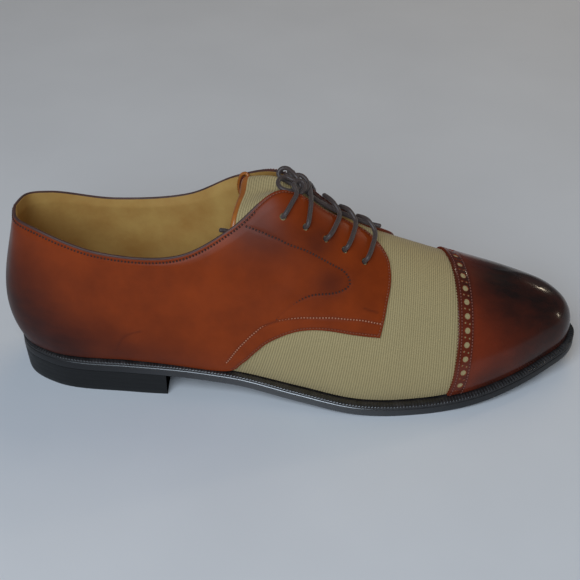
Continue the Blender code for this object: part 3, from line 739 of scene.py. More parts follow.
def add_stitches(name, rows, finish, scale=(1.0, 1.0, 1.0)):
    """The stitches of several rows as one piece. A row is places and a height over the wall."""
    shape, faces = stitch_shape()
    shape = shape * scale
    points = []
    for places, lift in rows:
        u, v = places.T
        centre = lifted(u, v, lift)
        out = wall_out(u, v)
        ahead = unit(np.gradient(centre, axis=0))
        across = np.cross(out, ahead)
        turned = shape @ np.stack([ahead, across, out], axis=1)
        points.append(centre[:, None] + turned)
    points = np.concatenate(points).reshape(-1, 3)
    starts = range(0, len(points), len(shape))
    every = [[corner + start for corner in face] for start in starts for face in faces]
    return face_out(add_piece(name, points, every, finish))


# Materials


def seen(red, green, blue, gain=1.9):
    """Surface colour of what shows as this screen tone in the scene's light."""
    tone = np.array([red, green, blue]) / 255
    linear = np.where(tone <= 0.04045, tone / 12.92, ((tone + 0.055) / 1.055) ** 2.4)
    return (*np.minimum(linear * gain, 1.0).tolist(), 1.0)


class Finish:
    """A Principled material and the nodes that feed it."""

    def __init__(self, name, **constants):
        self.material = bpy.data.materials.new(name)
        self.material.use_nodes = True
        self.tree = self.material.node_tree
        self.shader = self.tree.nodes["Principled BSDF"]
        for socket, value in constants.items():
            self.shader.inputs[socket.replace("_", " ")].default_value = value
        self.place = self.add("ShaderNodeTexCoord").outputs["Object"]

    def add(self, kind, inputs=None, **settings):
        made = self.tree.nodes.new(kind)
        for name, value in settings.items():
            setattr(made, name, value)
        for name, value in (inputs or {}).items():
            self.feed(made.inputs[name], value)
        return made

    def feed(self, socket, value):
        if isinstance(value, bpy.types.NodeSocket):
            self.tree.links.new(value, socket)
        else:
            socket.default_value = value

    def mark(self, name):
        return self.add("ShaderNodeAttribute", attribute_name=name).outputs["Fac"]

    def noise(self, scale, detail=3.0, roughness=0.55, place=None):
        inputs = {"Vector": place or self.place, "Scale": scale, "Detail": detail, "Roughness": roughness}
        return self.add("ShaderNodeTexNoise", inputs).outputs["Fac"]

    def stretched(self, scale):
        return self.add("ShaderNodeMapping", {"Vector": self.place, "Scale": scale}).outputs["Vector"]

    def range(self, value, low, high, new_low, new_high):
        inputs = {"Value": value, "From Min": low, "From Max": high, "To Min": new_low, "To Max": new_high}
        return self.add("ShaderNodeMapRange", inputs).outputs["Result"]

    def math(self, operation, first, second):
        return self.add("ShaderNodeMath", {0: first, 1: second}, operation=operation).outputs[0]

    def mix(self, share, first, second):
        inputs = {0: share, 6: first, 7: second}
        return self.add("ShaderNodeMix", inputs, data_type="RGBA").outputs[2]

    def bump(self, height, distance, strength=1.0, normal=None):
        inputs = {"Height": height, "Distance": distance * MM, "Strength": strength}
        if normal is not None:
            inputs["Normal"] = normal
        return self.add("ShaderNodeBump", inputs).outputs["Normal"]

    def set(self, **sockets):
        for name, value in sockets.items():
            self.feed(self.shader.inputs[name.replace("_", " ")], value)
        return self.material


def polished_leather(name, light, middle, dark, seam, roughness, coat, coat_roughness):
    """Smooth calf, mottled, darker where the mark says from burnish and painted shade, and with painted shade
    in the stitch grooves and creases.
    """
    made = Finish(name, Coat_Weight=coat, Coat_Roughness=coat_roughness, Specular_IOR_Level=0.12)
    cloud = made.noise(38.0, 4.0, 0.6)
    streak = made.noise(160.0, 3.0, 0.6, made.stretched((0.35, 1.0, 1.0)))
    colour = made.mix(made.range(cloud, 0.32, 0.68, 0.0, 1.0), middle, light)
    # The mark is burnish, with painted shade at the rims and along the far facing
    blotch = made.math("MULTIPLY", made.range(streak, 0.35, 0.75, 0.92, 1.06), made.mark("burnish_and_shade"))
    colour = made.mix(blotch, colour, dark)
    colour = made.mix(made.mark("groove"), colour, seam)
    pores = made.add("ShaderNodeTexVoronoi", {"Vector": made.place, "Scale": 1500.0}).outputs["Distance"]
    grain = made.bump(made.noise(700.0, 4.0, 0.6), 0.05, 0.35)
    normal = made.bump(pores, 0.03, 0.25, grain)
    shine = made.range(made.noise(60.0, 3.0), 0.3, 0.7, roughness - 0.05, roughness + 0.07)
    return made.set(Base_Color=colour, Roughness=shine, Normal=normal)


def ribbed_cloth(name, crest, trough):
    """Ribbed cotton: painted highlight on the light crests, painted shade in the dark troughs, and fine
    threads across each rib.
    """
    made = Finish(name, Sheen_Weight=0.12, Sheen_Roughness=0.5, Specular_IOR_Level=0.25)
    rib = made.mark("rib")
    thread = made.add(
        "ShaderNodeTexWave",
        {"Vector": made.place, "Scale": 430.0, "Distortion": 1.2, "Detail": 2.0, "Detail Scale": 2.0},
        bands_direction="Z",
    ).outputs["Fac"]
    fuzz = made.noise(1400.0, 3.0, 0.7)
    shade = made.math("ADD", rib, made.range(fuzz, 0.3, 0.7, -0.22, 0.22))
    shade = made.math("ADD", shade, made.range(thread, 0.0, 1.0, -0.10, 0.10))
    # Painted highlight on the crests and painted shade in the troughs, mixed by the rib's height
    colour = made.mix(made.range(shade, 0.05, 0.85, 0.0, 1.0), trough, crest)
    stain = made.range(made.noise(24.0, 3.0), 0.35, 0.75, 0.0, 0.22)
    colour = made.mix(stain, colour, trough)
    normal = made.bump(made.math("ADD", thread, fuzz), 0.10, 0.6)
    return made.set(Base_Color=colour, Roughness=made.range(fuzz, 0.0, 1.0, 0.8, 0.95), Normal=normal)


def plain_leather(name, light, dark, roughness, coat=0.0, scale=55.0):
    """Unburnished leather: lining, binding and raw edges."""
    made = Finish(name, Coat_Weight=coat, Coat_Roughness=0.25, Specular_IOR_Level=0.4)
    cloud = made.noise(scale, 5.0, 0.62)
    colour = made.mix(made.range(cloud, 0.3, 0.7, 0.0, 1.0), dark, light)
    pores = made.add("ShaderNodeTexVoronoi", {"Vector": made.place, "Scale": 1100.0}).outputs["Distance"]
    normal = made.bump(pores, 0.05, 0.3, made.bump(made.noise(500.0, 4.0), 0.06, 0.4))
    shine = made.range(made.noise(80.0, 3.0), 0.3, 0.7, roughness - 0.06, roughness + 0.08)
    return made.set(Base_Color=colour, Roughness=shine, Normal=normal)


def waxed_edge(name, light, dark, roughness, coat):
    """Inked and waxed leather edge, with faint layers along it, shinier where the mark says."""
    made = Finish(name, Coat_Roughness=0.16, Coat_IOR=2.1, Specular_IOR_Level=0.4)
    layer = made.noise(900.0, 3.0, 0.6, made.stretched((0.04, 0.04, 1.0)))
    scuff = made.noise(220.0, 5.0, 0.7)
    colour = made.mix(made.range(scuff, 0.45, 0.8, 0.0, 1.0), dark, light)
    normal = made.bump(layer, 0.10, 0.45, made.bump(scuff, 0.08, 0.25))
    gloss = made.mark("gloss")
    shine = made.range(scuff, 0.3, 0.75, roughness - 0.06, roughness + 0.14)
    shine = made.math("SUBTRACT", shine, made.math("MULTIPLY", gloss, 0.25))
    wax = made.math("MULTIPLY", gloss, coat)
    return made.set(Base_Color=colour, Roughness=shine, Normal=normal, Coat_Weight=wax)


def cord_finish(name, light, dark):
    """Waxed round lace or thread, mottled light and dark."""
    made = Finish(name, Coat_Weight=0.15, Coat_Roughness=0.35, Sheen_Weight=0.15, Specular_IOR_Level=0.45)
    fuzz = made.noise(1500.0, 3.0, 0.7)
    colour = made.mix(made.range(fuzz, 0.3, 0.7, 0.0, 1.0), dark, light)
    normal = made.bump(fuzz, 0.05, 0.5)
    return made.set(Base_Color=colour, Roughness=made.range(fuzz, 0.0, 1.0, 0.4, 0.6), Normal=normal)


def thread_finish(name, light, dark):
    made = Finish(name, Specular_IOR_Level=0.4)
    ply = made.noise(2600.0, 2.0, 0.6)
    colour = made.mix(made.range(ply, 0.3, 0.7, 0.0, 1.0), dark, light)
    return made.set(Base_Color=colour, Roughness=0.55, Normal=made.bump(ply, 0.04, 0.5))


def floor_finish():
    made = Finish("floor_plain", Roughness=0.9, Specular_IOR_Level=0.2)
    soft = made.noise(9.0, 3.0, 0.5)
    colour = made.mix(made.range(soft, 0.3, 0.7, 0.0, 1.0), (0.70, 0.71, 0.73, 1.0), (0.74, 0.75, 0.77, 1.0))
    return made.set(Base_Color=colour)


# Calf colours: light, middle, burnished dark, and the painted shade of its stitch grooves and creases
TAN = polished_leather(
    "tan_calf", seen(107, 41, 10), seen(90, 33, 8), seen(33, 15, 13), seen(56, 20, 10), 0.38, 0.06, 0.28,
)
CAP = polished_leather(
    "cap_calf", seen(104, 37, 15), seen(88, 31, 13), seen(19, 10, 8), seen(46, 17, 12), 0.26, 0.40, 0.14,
)
# Cloth colours: the crest with painted highlight, the trough with painted shade
CLOTH = ribbed_cloth("ribbed_cotton", seen(138, 123, 88), seen(110, 97, 67))
LINING = plain_leather("lining_leather", seen(152, 121, 67), seen(138, 102, 52), 0.55)
BINDING = plain_leather("binding_leather", seen(132, 76, 26), seen(100, 52, 17), 0.30, 0.4)
# Colour of the painted shade inside the tongue's roll
ROLL_SHADE = plain_leather("roll_painted_shade", seen(74, 30, 20), seen(44, 18, 13), 0.5)
COLLAR = plain_leather("collar_leather", seen(66, 42, 36), seen(46, 30, 27), 0.5)
SOCK = plain_leather("sock_leather", seen(128, 90, 50), seen(104, 72, 38), 0.6)
EDGE_BLACK = waxed_edge("sole_edge", seen(14, 13, 13), seen(8, 7, 8), 0.46, 1.0)
WELT_BLACK = waxed_edge("welt_edge", seen(40, 36, 36), seen(20, 18, 18), 0.44, 0.5)
HEEL_BLACK = waxed_edge("heel_edge", seen(12, 11, 11), seen(7, 7, 7), 0.5, 0.4)
LACE = cord_finish("waxed_lace", seen(58, 46, 42), seen(36, 29, 27))
THREAD = thread_finish("tan_thread", seen(160, 112, 86), seen(116, 72, 54))
THREAD_EDGE = thread_finish("edge_thread", seen(118, 66, 46), seen(78, 38, 26))
THREAD_DARK = thread_finish("brown_thread", seen(50, 26, 21), seen(28, 14, 12))
THREAD_CAP = thread_finish("cap_thread", seen(120, 74, 60), seen(82, 42, 36))


# Camera, floor and light


def build_camera():
    data = bpy.data.cameras.new("camera")
    data.sensor_width = 36.0
    data.lens = CAMERA_LENS
    data.clip_start = 0.01
    made = add_object("camera", data)
    turn, tilt = math.radians(CAMERA_TURN), math.radians(CAMERA_TILT)
    back = np.array([math.sin(turn) * math.cos(tilt), -math.cos(turn) * math.cos(tilt), math.sin(tilt)])
    place = to_frame(np.array(CAMERA_PIVOT) + back * CAMERA_DISTANCE)
    look = Vector(to_frame(CAMERA_AIM) - place).to_track_quat("-Z", "Y")
    made.location = place
    made.rotation_mode = "QUATERNION"
    made.rotation_quaternion = look @ Quaternion((0, 0, 1), math.radians(CAMERA_ROLL))
    bpy.context.scene.camera = made


def add_light(name, place, aim, size, power, colour, mirrored=True):
    data = bpy.data.lights.new(name, "AREA")
    data.shape = "DISK"
    data.size = size
    data.energy = power
    data.color = colour
    made = add_object(name, data)
    made.location = place
    made.rotation_mode = "QUATERNION"
    made.rotation_quaternion = (Vector(aim) - Vector(place)).to_track_quat("-Z", "Y")
    made.visible_camera = False
    made.visible_glossy = mirrored


def build_stage():
    sheet = bmesh.new()
    bmesh.ops.create_grid(sheet, x_segments=8, y_segments=8, size=5.0)
    mesh = bpy.data.meshes.new("floor")
    sheet.to_mesh(mesh)
    sheet.free()
    mesh.materials.append(floor_finish())
    floor = add_object("floor", mesh)
    world = bpy.data.worlds.new("soft_room")
    world.use_nodes = True
    sky = world.node_tree.nodes["Background"]
    sky.inputs["Color"].default_value = (0.86, 0.91, 1.0, 1.0)
    sky.inputs["Strength"].default_value = 0.12
    bpy.context.scene.world = world
    bpy.context.scene.view_settings.view_transform = "Standard"
    middle = (0.0, 0.0, 0.04)
    add_light("window", (-0.3, -1.05, 1.0), middle, 1.1, 16.0, (0.75, 0.87, 1.0))
    add_light("room", (0.4, 1.2, 1.6), middle, 1.2, 4.8, (1.0, 0.74, 0.42), mirrored=False)
    toe = to_frame(LAMP_AIM)
    for name, direction, power in LAMPS:
        add_light(name, toe + np.array(direction) * LAMP_DISTANCE, toe, LAMP_SIZE, power, LAMP_COLOUR)


# Lace


def cord_rings(route):
    """Rings of a braided round cord with rounded ends along a route, and the line it follows."""
    path = spread(route, LACE_STEP)
    ahead = unit(np.gradient(path, axis=0))
    side = [unit(np.cross(ahead[0], LACE_ASIDE))]
    for direction in ahead[1:]:
        side.append(unit(side[-1] - direction * (side[-1] @ direction)))
    side = np.array(side)
    reach = lengths(path)[:, None]
    angle = np.linspace(0, 2 * math.pi, LACE_SIDES + 1)[:-1]
    turn = 2 * math.pi * reach / LACE_BRAID_PITCH
    weave = np.cos(LACE_STRANDS * angle + turn) * np.cos(LACE_STRANDS * angle - turn)
    taper = rounded(np.minimum(reach, reach[-1] - reach) / (LACE_TIP * LACE_RADIUS))
    girth = LACE_RADIUS * (1 + LACE_BRAID * weave) * taper
    return tube(path, side, np.cross(ahead, side), LACE_SIDES, 1.0, 1.0, girth[..., None]), path


def add_lace(name, route, stands_for):
    rings, path = cord_rings(route)
    return add_loft(name, rings, LACE, stands_for), path


def add_free_lace(name, route, stands_for):
    """A loop or end of the lace."""
    made, path = add_lace(name, route, stands_for)


def build_bow():
    knot, _ = add_lace("bow_knot", KNOT, ["lace_knot"])
    add_free_lace("bow_loop_small", LOOP_SMALL, ["lace_loop_small"])
    add_free_lace("bow_loop_flat", LOOP_FLAT, ["lace_loop_flat"])
    add_free_lace("lace_tail_tucked", TUCKED_END, ["lace_end_tucked"])
    u, v, depth = np.array(COLLAR_END).T
    add_free_lace("lace_tail_collar", lifted(u, v, -depth), ["lace_end_collar"])


def half_bar(hole, bar, side):
    """A lace bar from inside its hole on one side up to where it leaves the leather."""
    lean = bar.outer_lean if side > 0 else bar.inner_lean
    lift = PANEL_TOP + LACE_RADIUS
    height = np.array([BAR_START, BAR_MOUTH, lift, lift, lift])
    if side > 0:
        height += bar.rise * BAR_ARCH
    v = hole[1] + (1 - hole[1]) * bar.climb * BAR_CLIMB
    u = hole[0] + lean * BAR_LEAN
    return lifted(side * u, v, height)


def build_bars():
    """The top bar runs from both holes to the knot, and the others cross the throat."""
    hole, bar = EYELETS[0], BARS[0]
    for (side, name), lean in zip(SIDES, (bar.outer_lean, bar.inner_lean)):
        climb = half_bar(hole, bar, side)
        crest = wall(side * (hole[0] + lean), 1.0) + [0.0, side * TOP_BAR_IN, TOP_BAR_UP]
        end = KNOT_AT - [0.0, side * KNOT_REACH, 0.0]
        add_lace(f"lace_row_1_{name}", np.concatenate([climb, [crest, end]]), [f"lace_bar_1_{name}"])
    for number, (hole, bar) in enumerate(zip(EYELETS[1:], BARS[1:]), start=2):
        outer, inner = (half_bar(hole, bar, side) for side, _ in SIDES)
        middle = BAR_MIDDLE * outer[-1:] + (1 - BAR_MIDDLE) * inner[-1:] + [0.0, 0.0, BAR_CROWN * bar.rise]
        add_lace(f"lace_row_{number}", np.concatenate([outer, middle, inner[::-1]]), [f"lace_bar_{number}"])


# Sole, welt, heel and sock


def sole_rings(u, profile, share, across=7):
    """Rings across the sole. The profile runs up the edge as (inset, height over the underside)."""
    sides = []
    for side, _ in SIDES:
        run = []
        for inset, height in profile:
            place, _ = edge(side * u, share, -inset)
            run.append(np.column_stack([place, underside(place[:, 0]) + height]))
        sides.append(np.array(run))
    outer, inner = sides
    span = np.linspace(0, 1, across)[1:-1, None, None]
    over = outer[-1] + (inner[-1] - outer[-1]) * span
    over[..., 2] = underside(over[..., 0]) + profile[-1][1]
    under = inner[0] + (outer[0] - inner[0]) * span
    under[..., 2] = underside(under[..., 0]) + profile[0][1]
    return np.concatenate([outer, over, inner[::-1], under]).transpose(1, 0, 2)


def round_edge(inset, low, high, radii, steps=5):
    """The profile of an edge from its bottom to its top, with the radii of its two corners."""
    turn = np.linspace(0, math.pi / 2, steps)
    under, over = radii
    lower = [(inset + under * (1 - math.sin(a)), low + under * (1 - math.cos(a))) for a in turn]
    upper = [(inset + over * (1 - math.cos(a)), high - over * (1 - math.sin(a))) for a in turn]
    return lower + upper


def gloss_of(points, share):
    """The shine of an edge, strongest at one place along the sole."""
    near = bell(points[:, 0] - GLOSS_AT, GLOSS_REACH)
    return {"gloss": share * (GLOSS_LEAST + (1 - GLOSS_LEAST) * near)}


def build_sole():
    u = (1 - np.cos(np.linspace(0, math.pi, 260))) / 2
    rings = sole_rings(u, round_edge(0.0, 0.0, OUTSOLE_THICK, OUTSOLE_ROUND), 1.0)
    add_loft("sole_body", rings, EDGE_BLACK, ["outsole"], gloss=1.0)
    low = OUTSOLE_THICK + PIECE_GAP
    high = low + WELT_THICK + PIECE_GAP + INSOLE_RISE
    rings = sole_rings(u, round_edge(INSOLE_INSET, low, high, INSOLE_ROUND), 0.0)
    add_loft("sock", rings, SOCK, ["insole"])


def build_welt():
    """The welt, its top and lip ribbed across by the wheel."""
    u = np.linspace(-1, 1, 4001)
    line, _ = edge(u, 1.0)
    reach = lengths(line)
    count = int(round(reach[-1] / WHEEL_PITCH)) * WHEEL_SAMPLES
    at = np.linspace(0, reach[-1], count + 1)[:-1]
    u = np.interp(at, reach, u)
    trough = 1 - wave(at, WHEEL_PITCH)
    rings = []
    for grow, height, cut in WELT_PROFILE:
        place, _ = edge(u, 1.0, grow)
        z = underside(place[:, 0]) + OUTSOLE_THICK + height - WHEEL_DEPTH * cut * trough
        rings.append(np.column_stack([place, z]))
    tuck, _ = edge(u, 0.0, -WELT_TUCK)
    for height in (WELT_THICK, PIECE_GAP):
        rings.append(np.column_stack([tuck, underside(tuck[:, 0]) + OUTSOLE_THICK + height]))
    rings = np.array(rings).transpose(1, 0, 2)
    add_loft("welt_strip", rings, WELT_BLACK, ["welt"], gloss=0.9, sharp=60.0, wrap=True)


def build_heel():
    """The heel block of stacked lifts, tapered to the floor, with a hollow breast."""
    full = underside(np.array(HEEL_AT))
    height = full - HEEL_GAP
    profile = [(HEEL_TAPER + inset, level) for inset, level in HEEL_FOOT]
    foot = HEEL_FOOT[-1][1]
    lift = (height - foot) / HEEL_LIFTS
    for number in range(1, HEEL_LIFTS + 1):
        top = foot + lift * number
        taper = HEEL_TAPER * (1 - top / height)
        profile += [(taper + inset, top - drop) for inset, drop in HEEL_GROOVE]
    profile.append((HEEL_TOP_INSET, height))
    share = np.concatenate([[0.0], np.linspace(0.02, 1, 90) ** 1.6])
    across = np.linspace(-1, 1, 13)
    around = np.linspace(-1, 1, 1601)[:-1]
    rings = []
    for inset, z in profile:
        loop, _ = edge(around, 1.0, -inset)
        loop = np.roll(loop, -int(np.argmin(loop[:, 0])), axis=0)
        tip = int(np.argmax(loop[:, 0]))
        sides = loop[: tip + 1], np.concatenate([loop[tip:], loop[:1]])[::-1]
        back = loop[0, 0]
        x = back + (HEEL_BREAST - back) * share
        outer, inner = (np.interp(x, side[:, 0], side[:, 1]) for side in sides)
        breast = (outer[-1] + inner[-1]) / 2 + across * (inner[-1] - outer[-1]) / 2
        hollow = np.column_stack([HEEL_BREAST - HEEL_HOLLOW * (1 - across ** 2), breast])
        ring = np.concatenate([np.column_stack([x, outer]), hollow[1:-1], np.column_stack([x, inner])[::-1]])
        rings.append(np.column_stack([ring, z * underside(ring[:, 0]) / full]))
    points, faces, numbers = loft(np.array(rings))
    for row in (numbers[0], numbers[-1]):
        ring = list(dict.fromkeys(row.tolist()))
        size = len(ring)
        for k in range(size // 2 - 1):
            face = [ring[k], ring[k + 1], ring[size - k - 2], ring[size - k - 1]]
            faces.append(list(dict.fromkeys(face)))
    gloss = gloss_of(points, 0.1)
    face_out(add_piece("heel_stack", points, faces, HEEL_BLACK, ["heel"], gloss, sharp=50.0))


# Upper


def meet(outer, inner, where):
    """Moves two sheets to their middle where they share points."""
    middle = (outer[where] + inner[where]) / 2
    outer[where] = middle
    inner[where] = middle


def both_sides(outer_u, inner_u, v, lift):
    """Two sheets over the wall, outer and inner, that share their ridge where the throat has closed."""
    outer = lifted(outer_u, v, lift)
    inner = lifted(-inner_u, v, lift)
    meet(outer, inner, (outer_u[:, -1] >= CLOSED_FROM, -1))
    return outer, inner[::-1]


def joined(grids):
    """Points and faces of several grids."""
    points, faces, start = [], [], 0
    for grid in grids:
        faces.append(grid_faces(*grid.shape[:2], start))
        points.append(grid.reshape(-1, 3))
        start += len(points[-1])
    return np.concatenate(points), np.concatenate(faces)


def collar_thinning(u, v, front):
    """How much the leather has thinned at each place, up to 1 at the top line of the collar."""
    return np.clip(1 - (1 - v) * WALL_HEIGHT / COLLAR_TAPER, 0, 1) * (np.abs(u) < front)


def build_lining():
    u = np.concatenate([np.linspace(0, CLOSED_FROM, 120), np.linspace(CLOSED_FROM, 1, 50)[1:]])
    v = np.concatenate([np.linspace(0, 0.9, 26), np.linspace(0.9, 1, 8)[1:]])
    u, v = np.meshgrid(u, v, indexing="ij")
    inside = LINING_LOW + LINING_THIN * collar_thinning(u, v, LINING_THIN_TO)
    top, faces = joined(both_sides(u, u, v, LINING_TOP))
    low, _ = joined(both_sides(u, u, v, inside))
    add_slab("lining", (top, low), faces, LINING)


def rib_phase(points):
    """The rib that passes through each point, in millimetres along the vamp."""
    x = points[..., 0]
    lean = np.interp(x, RIB_LEAN_X, RIB_LEAN)
    return x - lean * (points[..., 2] - seat(x))


def build_vamp():
    """The cloth of the vamp, ribbed from feather to ridge on both sides."""
    phase = np.arange(RIB_FROM, RIB_TO, RIB_PITCH / RIB_SAMPLES)
    v = np.linspace(0, 1, 30)
    fine = np.linspace(VAMP_FROM, VAMP_TO, 700)
    outer, inner = (
        np.array([np.interp(phase, rib_phase(wall(side * fine, level)), fine) for level in v]).T
        for side, _ in SIDES
    )
    crest = np.broadcast_to(wave(phase, RIB_PITCH)[:, None], outer.shape)
    level = np.broadcast_to(v, crest.shape)
    top, faces = joined(both_sides(outer, inner, level, RIB_HEIGHT * (crest - 0.5)))
    low, _ = joined(both_sides(outer, inner, level, VAMP_LOW))
    marks = {"rib": np.concatenate([crest.reshape(-1), crest[::-1].reshape(-1)])}
    add_slab("vamp_cloth", (top, low), faces, CLOTH, ["upper"], marks)


def rim_shares(count, near, power=1.0):
    """Shares from 0 to 1 with a few lines close to both ends."""
    inside = np.linspace(0, 1, count) ** power
    return np.unique(np.concatenate([inside, near, 1 - np.asarray(near)]))


def quarter_grid():
    """A patch of (u, v) between the quarter's lower edge, front edge, top edge and back seam."""
    s = rim_shares(290, (0.0006, 0.0016, 0.0032), 1.1)
    t = rim_shares(96, (0.0017, 0.0042, 0.0085))
    low = along_edge(QUARTER_LOWER, s)
    top = along_edge(QUARTER_TOP, s)
    front = along_edge(QUARTER_FRONT, t)
    back = np.column_stack([np.zeros(len(t)), low[0, 1] + t * (1 - low[0, 1])])
    s = s[:, None, None]
    t = t[None, :, None]
    ruled = (1 - t) * low[:, None] + t * top[:, None] + (1 - s) * back[None] + s * front[None]
    corners = (1 - s) * ((1 - t) * low[0] + t * top[0]) + s * ((1 - t) * low[-1] + t * top[-1])
    grid = ruled - corners
    grid[..., 0] = np.maximum(grid[..., 0], SEAM_HALF)
    return grid


def soft_spot(points, spot, side):
    """How strong a spot on the wall is at each point."""
    away = np.linalg.norm(points - wall(side * spot.u, spot.v), axis=-1)
    return spot.strength * bell(away, spot.size)


def burnish_and_shade(points, spots, side):
    """How dark the polish is at each point, from soft spots on the wall."""
    return 1 - np.prod([1 - soft_spot(points, spot, side) for spot in spots], axis=0)


def to_side(places, side):
    """Places of the outer side, on either side."""
    return np.array(places) * [side, 1.0]


def stepped(places, step):
    """Places a step apart along a run of places."""
    fine = along_edge(places, np.linspace(0, 1, 900))
    reach = lengths(on_wall(fine))
    count = max(2, int(round(reach[-1] / step)) + 1)
    return sampled(np.linspace(0, reach[-1], count), reach, fine)


def quarter_rows(side):
    """The runs of stitches on a quarter, as places on the wall."""
    lower = along_edge(QUARTER_LOWER, np.linspace(0, 1, 500))
    front = along_edge(QUARTER_FRONT, np.linspace(0, 1, 300))
    top = along_edge(QUARTER_TOP, np.linspace(1, 0, 500))
    u = top[:, 0]
    rim = np.concatenate([lower[lower[:, 0] > LOWER_ROW_START], front[1:-1], top[u > EDGE_ROW_END]])
    collar = top[(u <= COLLAR_ROW_END) & (u >= COLLAR_ROW_START)]
    runs = [
        shifted(to_side(run[::4], side), side * inset)
        for run, inset in ((rim, EDGE_INSET), (collar, COLLAR_INSET))
    ]
    runs += [to_side(row, side) for row in (SECOND_ROW, FACING_ROW)]
    return [stepped(run, pitch) for run, pitch in zip(runs, ROW_PITCHES)]


def rimmed(high, to_rim, width):
    """Height of a panel over the wall, rounded off towards its rim."""
    return RIM_LOW + (high - RIM_LOW) * rounded(to_rim / width)


def build_quarters():
    grid = quarter_grid()
    shares = np.linspace(0, 1, 900)
    rims = [along_edge(rows, shares) for rows in (QUARTER_LOWER, QUARTER_FRONT, QUARTER_TOP)]
    rims.append(np.column_stack([np.full(300, SEAM_HALF), np.linspace(0.0, 1, 300)]))
    for side, name in SIDES:
        u, v = side * grid[..., 0], grid[..., 1]
        base = wall(u, v)
        rows = quarter_rows(side)
        to_rim = distance_to(base, [on_wall(to_side(rim, side)) for rim in rims])
        to_row = [distance_to(base, [on_wall(stepped(row, 0.25))]) for row in rows]
        to_crease = distance_to(base, [on_wall(stepped(to_side(run, side), 0.25)) for run in CREASES])
        groove = bell(np.min(to_row, axis=0), GROOVE_WIDTH)
        tone = np.max([share * bell(away, TONE_WIDTH) for share, away in zip(ROW_TONES, to_row)], axis=0)
        seam = bell(to_row[2], SEAM_WIDTH)
        crease = bell(to_crease, CREASE_WIDTH)
        swell = sum(soft_spot(base, spot, side) for spot in SWELLS)
        thinning = PANEL_THIN * collar_thinning(u, v, PANEL_THIN_TO)
        cuts = GROOVE_DEPTH * groove + SEAM_DEPTH * seam + CREASE_DEPTH * crease
        high = PANEL_TOP + swell - thinning - cuts
        sheets = lifted(u, v, rimmed(high, to_rim, RIM_ROUND)), lifted(u, v, PANEL_LOW)
        # Painted shade along the quarter's rims
        dark = RIM_SHADE * bell(to_rim, RIM_SHADE_WIDTH)
        # On the inner side only, painted shade along the far facing
        if side < 0:
            to_facing = distance_to(base, [on_wall(to_side(rims[2], side))])
            facing_shade = FACING_SHADE * bell(to_facing, FACING_SHADE_WIDTH) * (np.abs(u) > FACING_SHADE_FROM)
            dark = np.maximum(dark, facing_shade)
        # The groove mark is painted shade in the stitch grooves and creases
        marks = {
            "burnish_and_shade": np.clip(burnish_and_shade(base, QUARTER_SPOTS, side) + dark, 0, 1),
            "groove": np.clip(tone + CREASE_TONE * crease, 0, 1),
        }
        if side < 0:
            sheets = [sheet[::-1] for sheet in sheets]
            marks = {mark: values[::-1] for mark, values in marks.items()}
        faces = grid_faces(*u.shape)
        solid = [f"quarter_{name}"]
        piece = add_slab(f"quarter_{name}_calf", sheets, faces, TAN, solid, marks)
        pierce(piece, [(hole, EYELET_RADIUS, 24) for hole in to_side(EYELETS, side)])
        sewn = [(row, PANEL_TOP - GROOVE_DEPTH - sink) for row, sink in zip(rows, ROW_SINKS)]
        add_stitches(f"quarter_{name}_edge_stitches", sewn[:1], THREAD_EDGE)
        add_stitches(f"quarter_{name}_lower_stitches", sewn[2:3], THREAD, LIGHT_STITCH)
        add_stitches(f"quarter_{name}_dark_stitches", sewn[1::2], THREAD_DARK, DARK_STITCH)


def cap_seam(side, v):
    column = 1 if side > 0 else 2
    return smooth(CAP_SEAM[:, 0], CAP_SEAM[:, column], v)[..., 0]


def cap_levels(side, count):
    """Levels v that lie evenly along the cap's seam, from the welt to the ridge."""
    v = np.linspace(CAP_SEAM[0, 0], 1, 800)
    reach = lengths(wall(side * cap_seam(side, v), v))
    return np.interp(np.linspace(0, reach[-1], count), reach, v), reach[-1]


def cap_run(side, distance, count=400):
    """Places at a distance inside the cap's seam, from the welt to the ridge."""
    v, _ = cap_levels(side, count)
    fine = cap_seam(side, v)[:, None] + np.linspace(0, CAP_REACH, 200)
    reach = row_lengths(wall(side * fine, v[:, None]))
    u = np.array([np.interp(distance, row, places) for row, places in zip(reach, fine)])
    return np.column_stack([side * u, v])


def cap_holes():
    """Centres of the large holes and the pinholes of the brogue, as places."""
    large, small = [], []
    for side, _ in SIDES:
        first = 0.0 if side > 0 else BROGUE_PITCH
        for found, offset, start, clear in (
            (large, 0.0, BROGUE_PITCH / 2, BROGUE_CLEAR),
            (small, -PINHOLE_APART, first, PINHOLE_CLEAR),
            (small, PINHOLE_APART, first, PINHOLE_CLEAR),
        ):
            run = stepped(cap_run(side, BROGUE_HOLES + offset), 0.1)[::-1]
            reach = lengths(on_wall(run))
            at = np.maximum(np.arange(start, reach[-1] - clear, BROGUE_PITCH), 0.01)
            found.extend(sampled(at, reach, run))
    return large, small


def build_backing():
    """Ribbons of cloth inside the cap, which show through the large holes of its brogue."""
    for side, name in SIDES:
        runs = np.array([cap_run(side, BROGUE_HOLES + move, 160) for move in BACKING_LINES])
        runs = runs[:, (runs[0, :, 1] > BACKING_FROM) & (runs[0, :, 1] < BACKING_TO)]
        u, v = runs[..., 0], runs[..., 1]
        sheets = [lifted(u, v, PANEL_TOP - BROGUE_DEPTH - sink) for sink in (0.0, BACKING_THICK)]
        marks = {"rib": np.full(u.shape, 0.5)}
        face_out(add_slab(f"brogue_cloth_{name}", sheets, grid_faces(*u.shape), CLOTH, marks=marks))


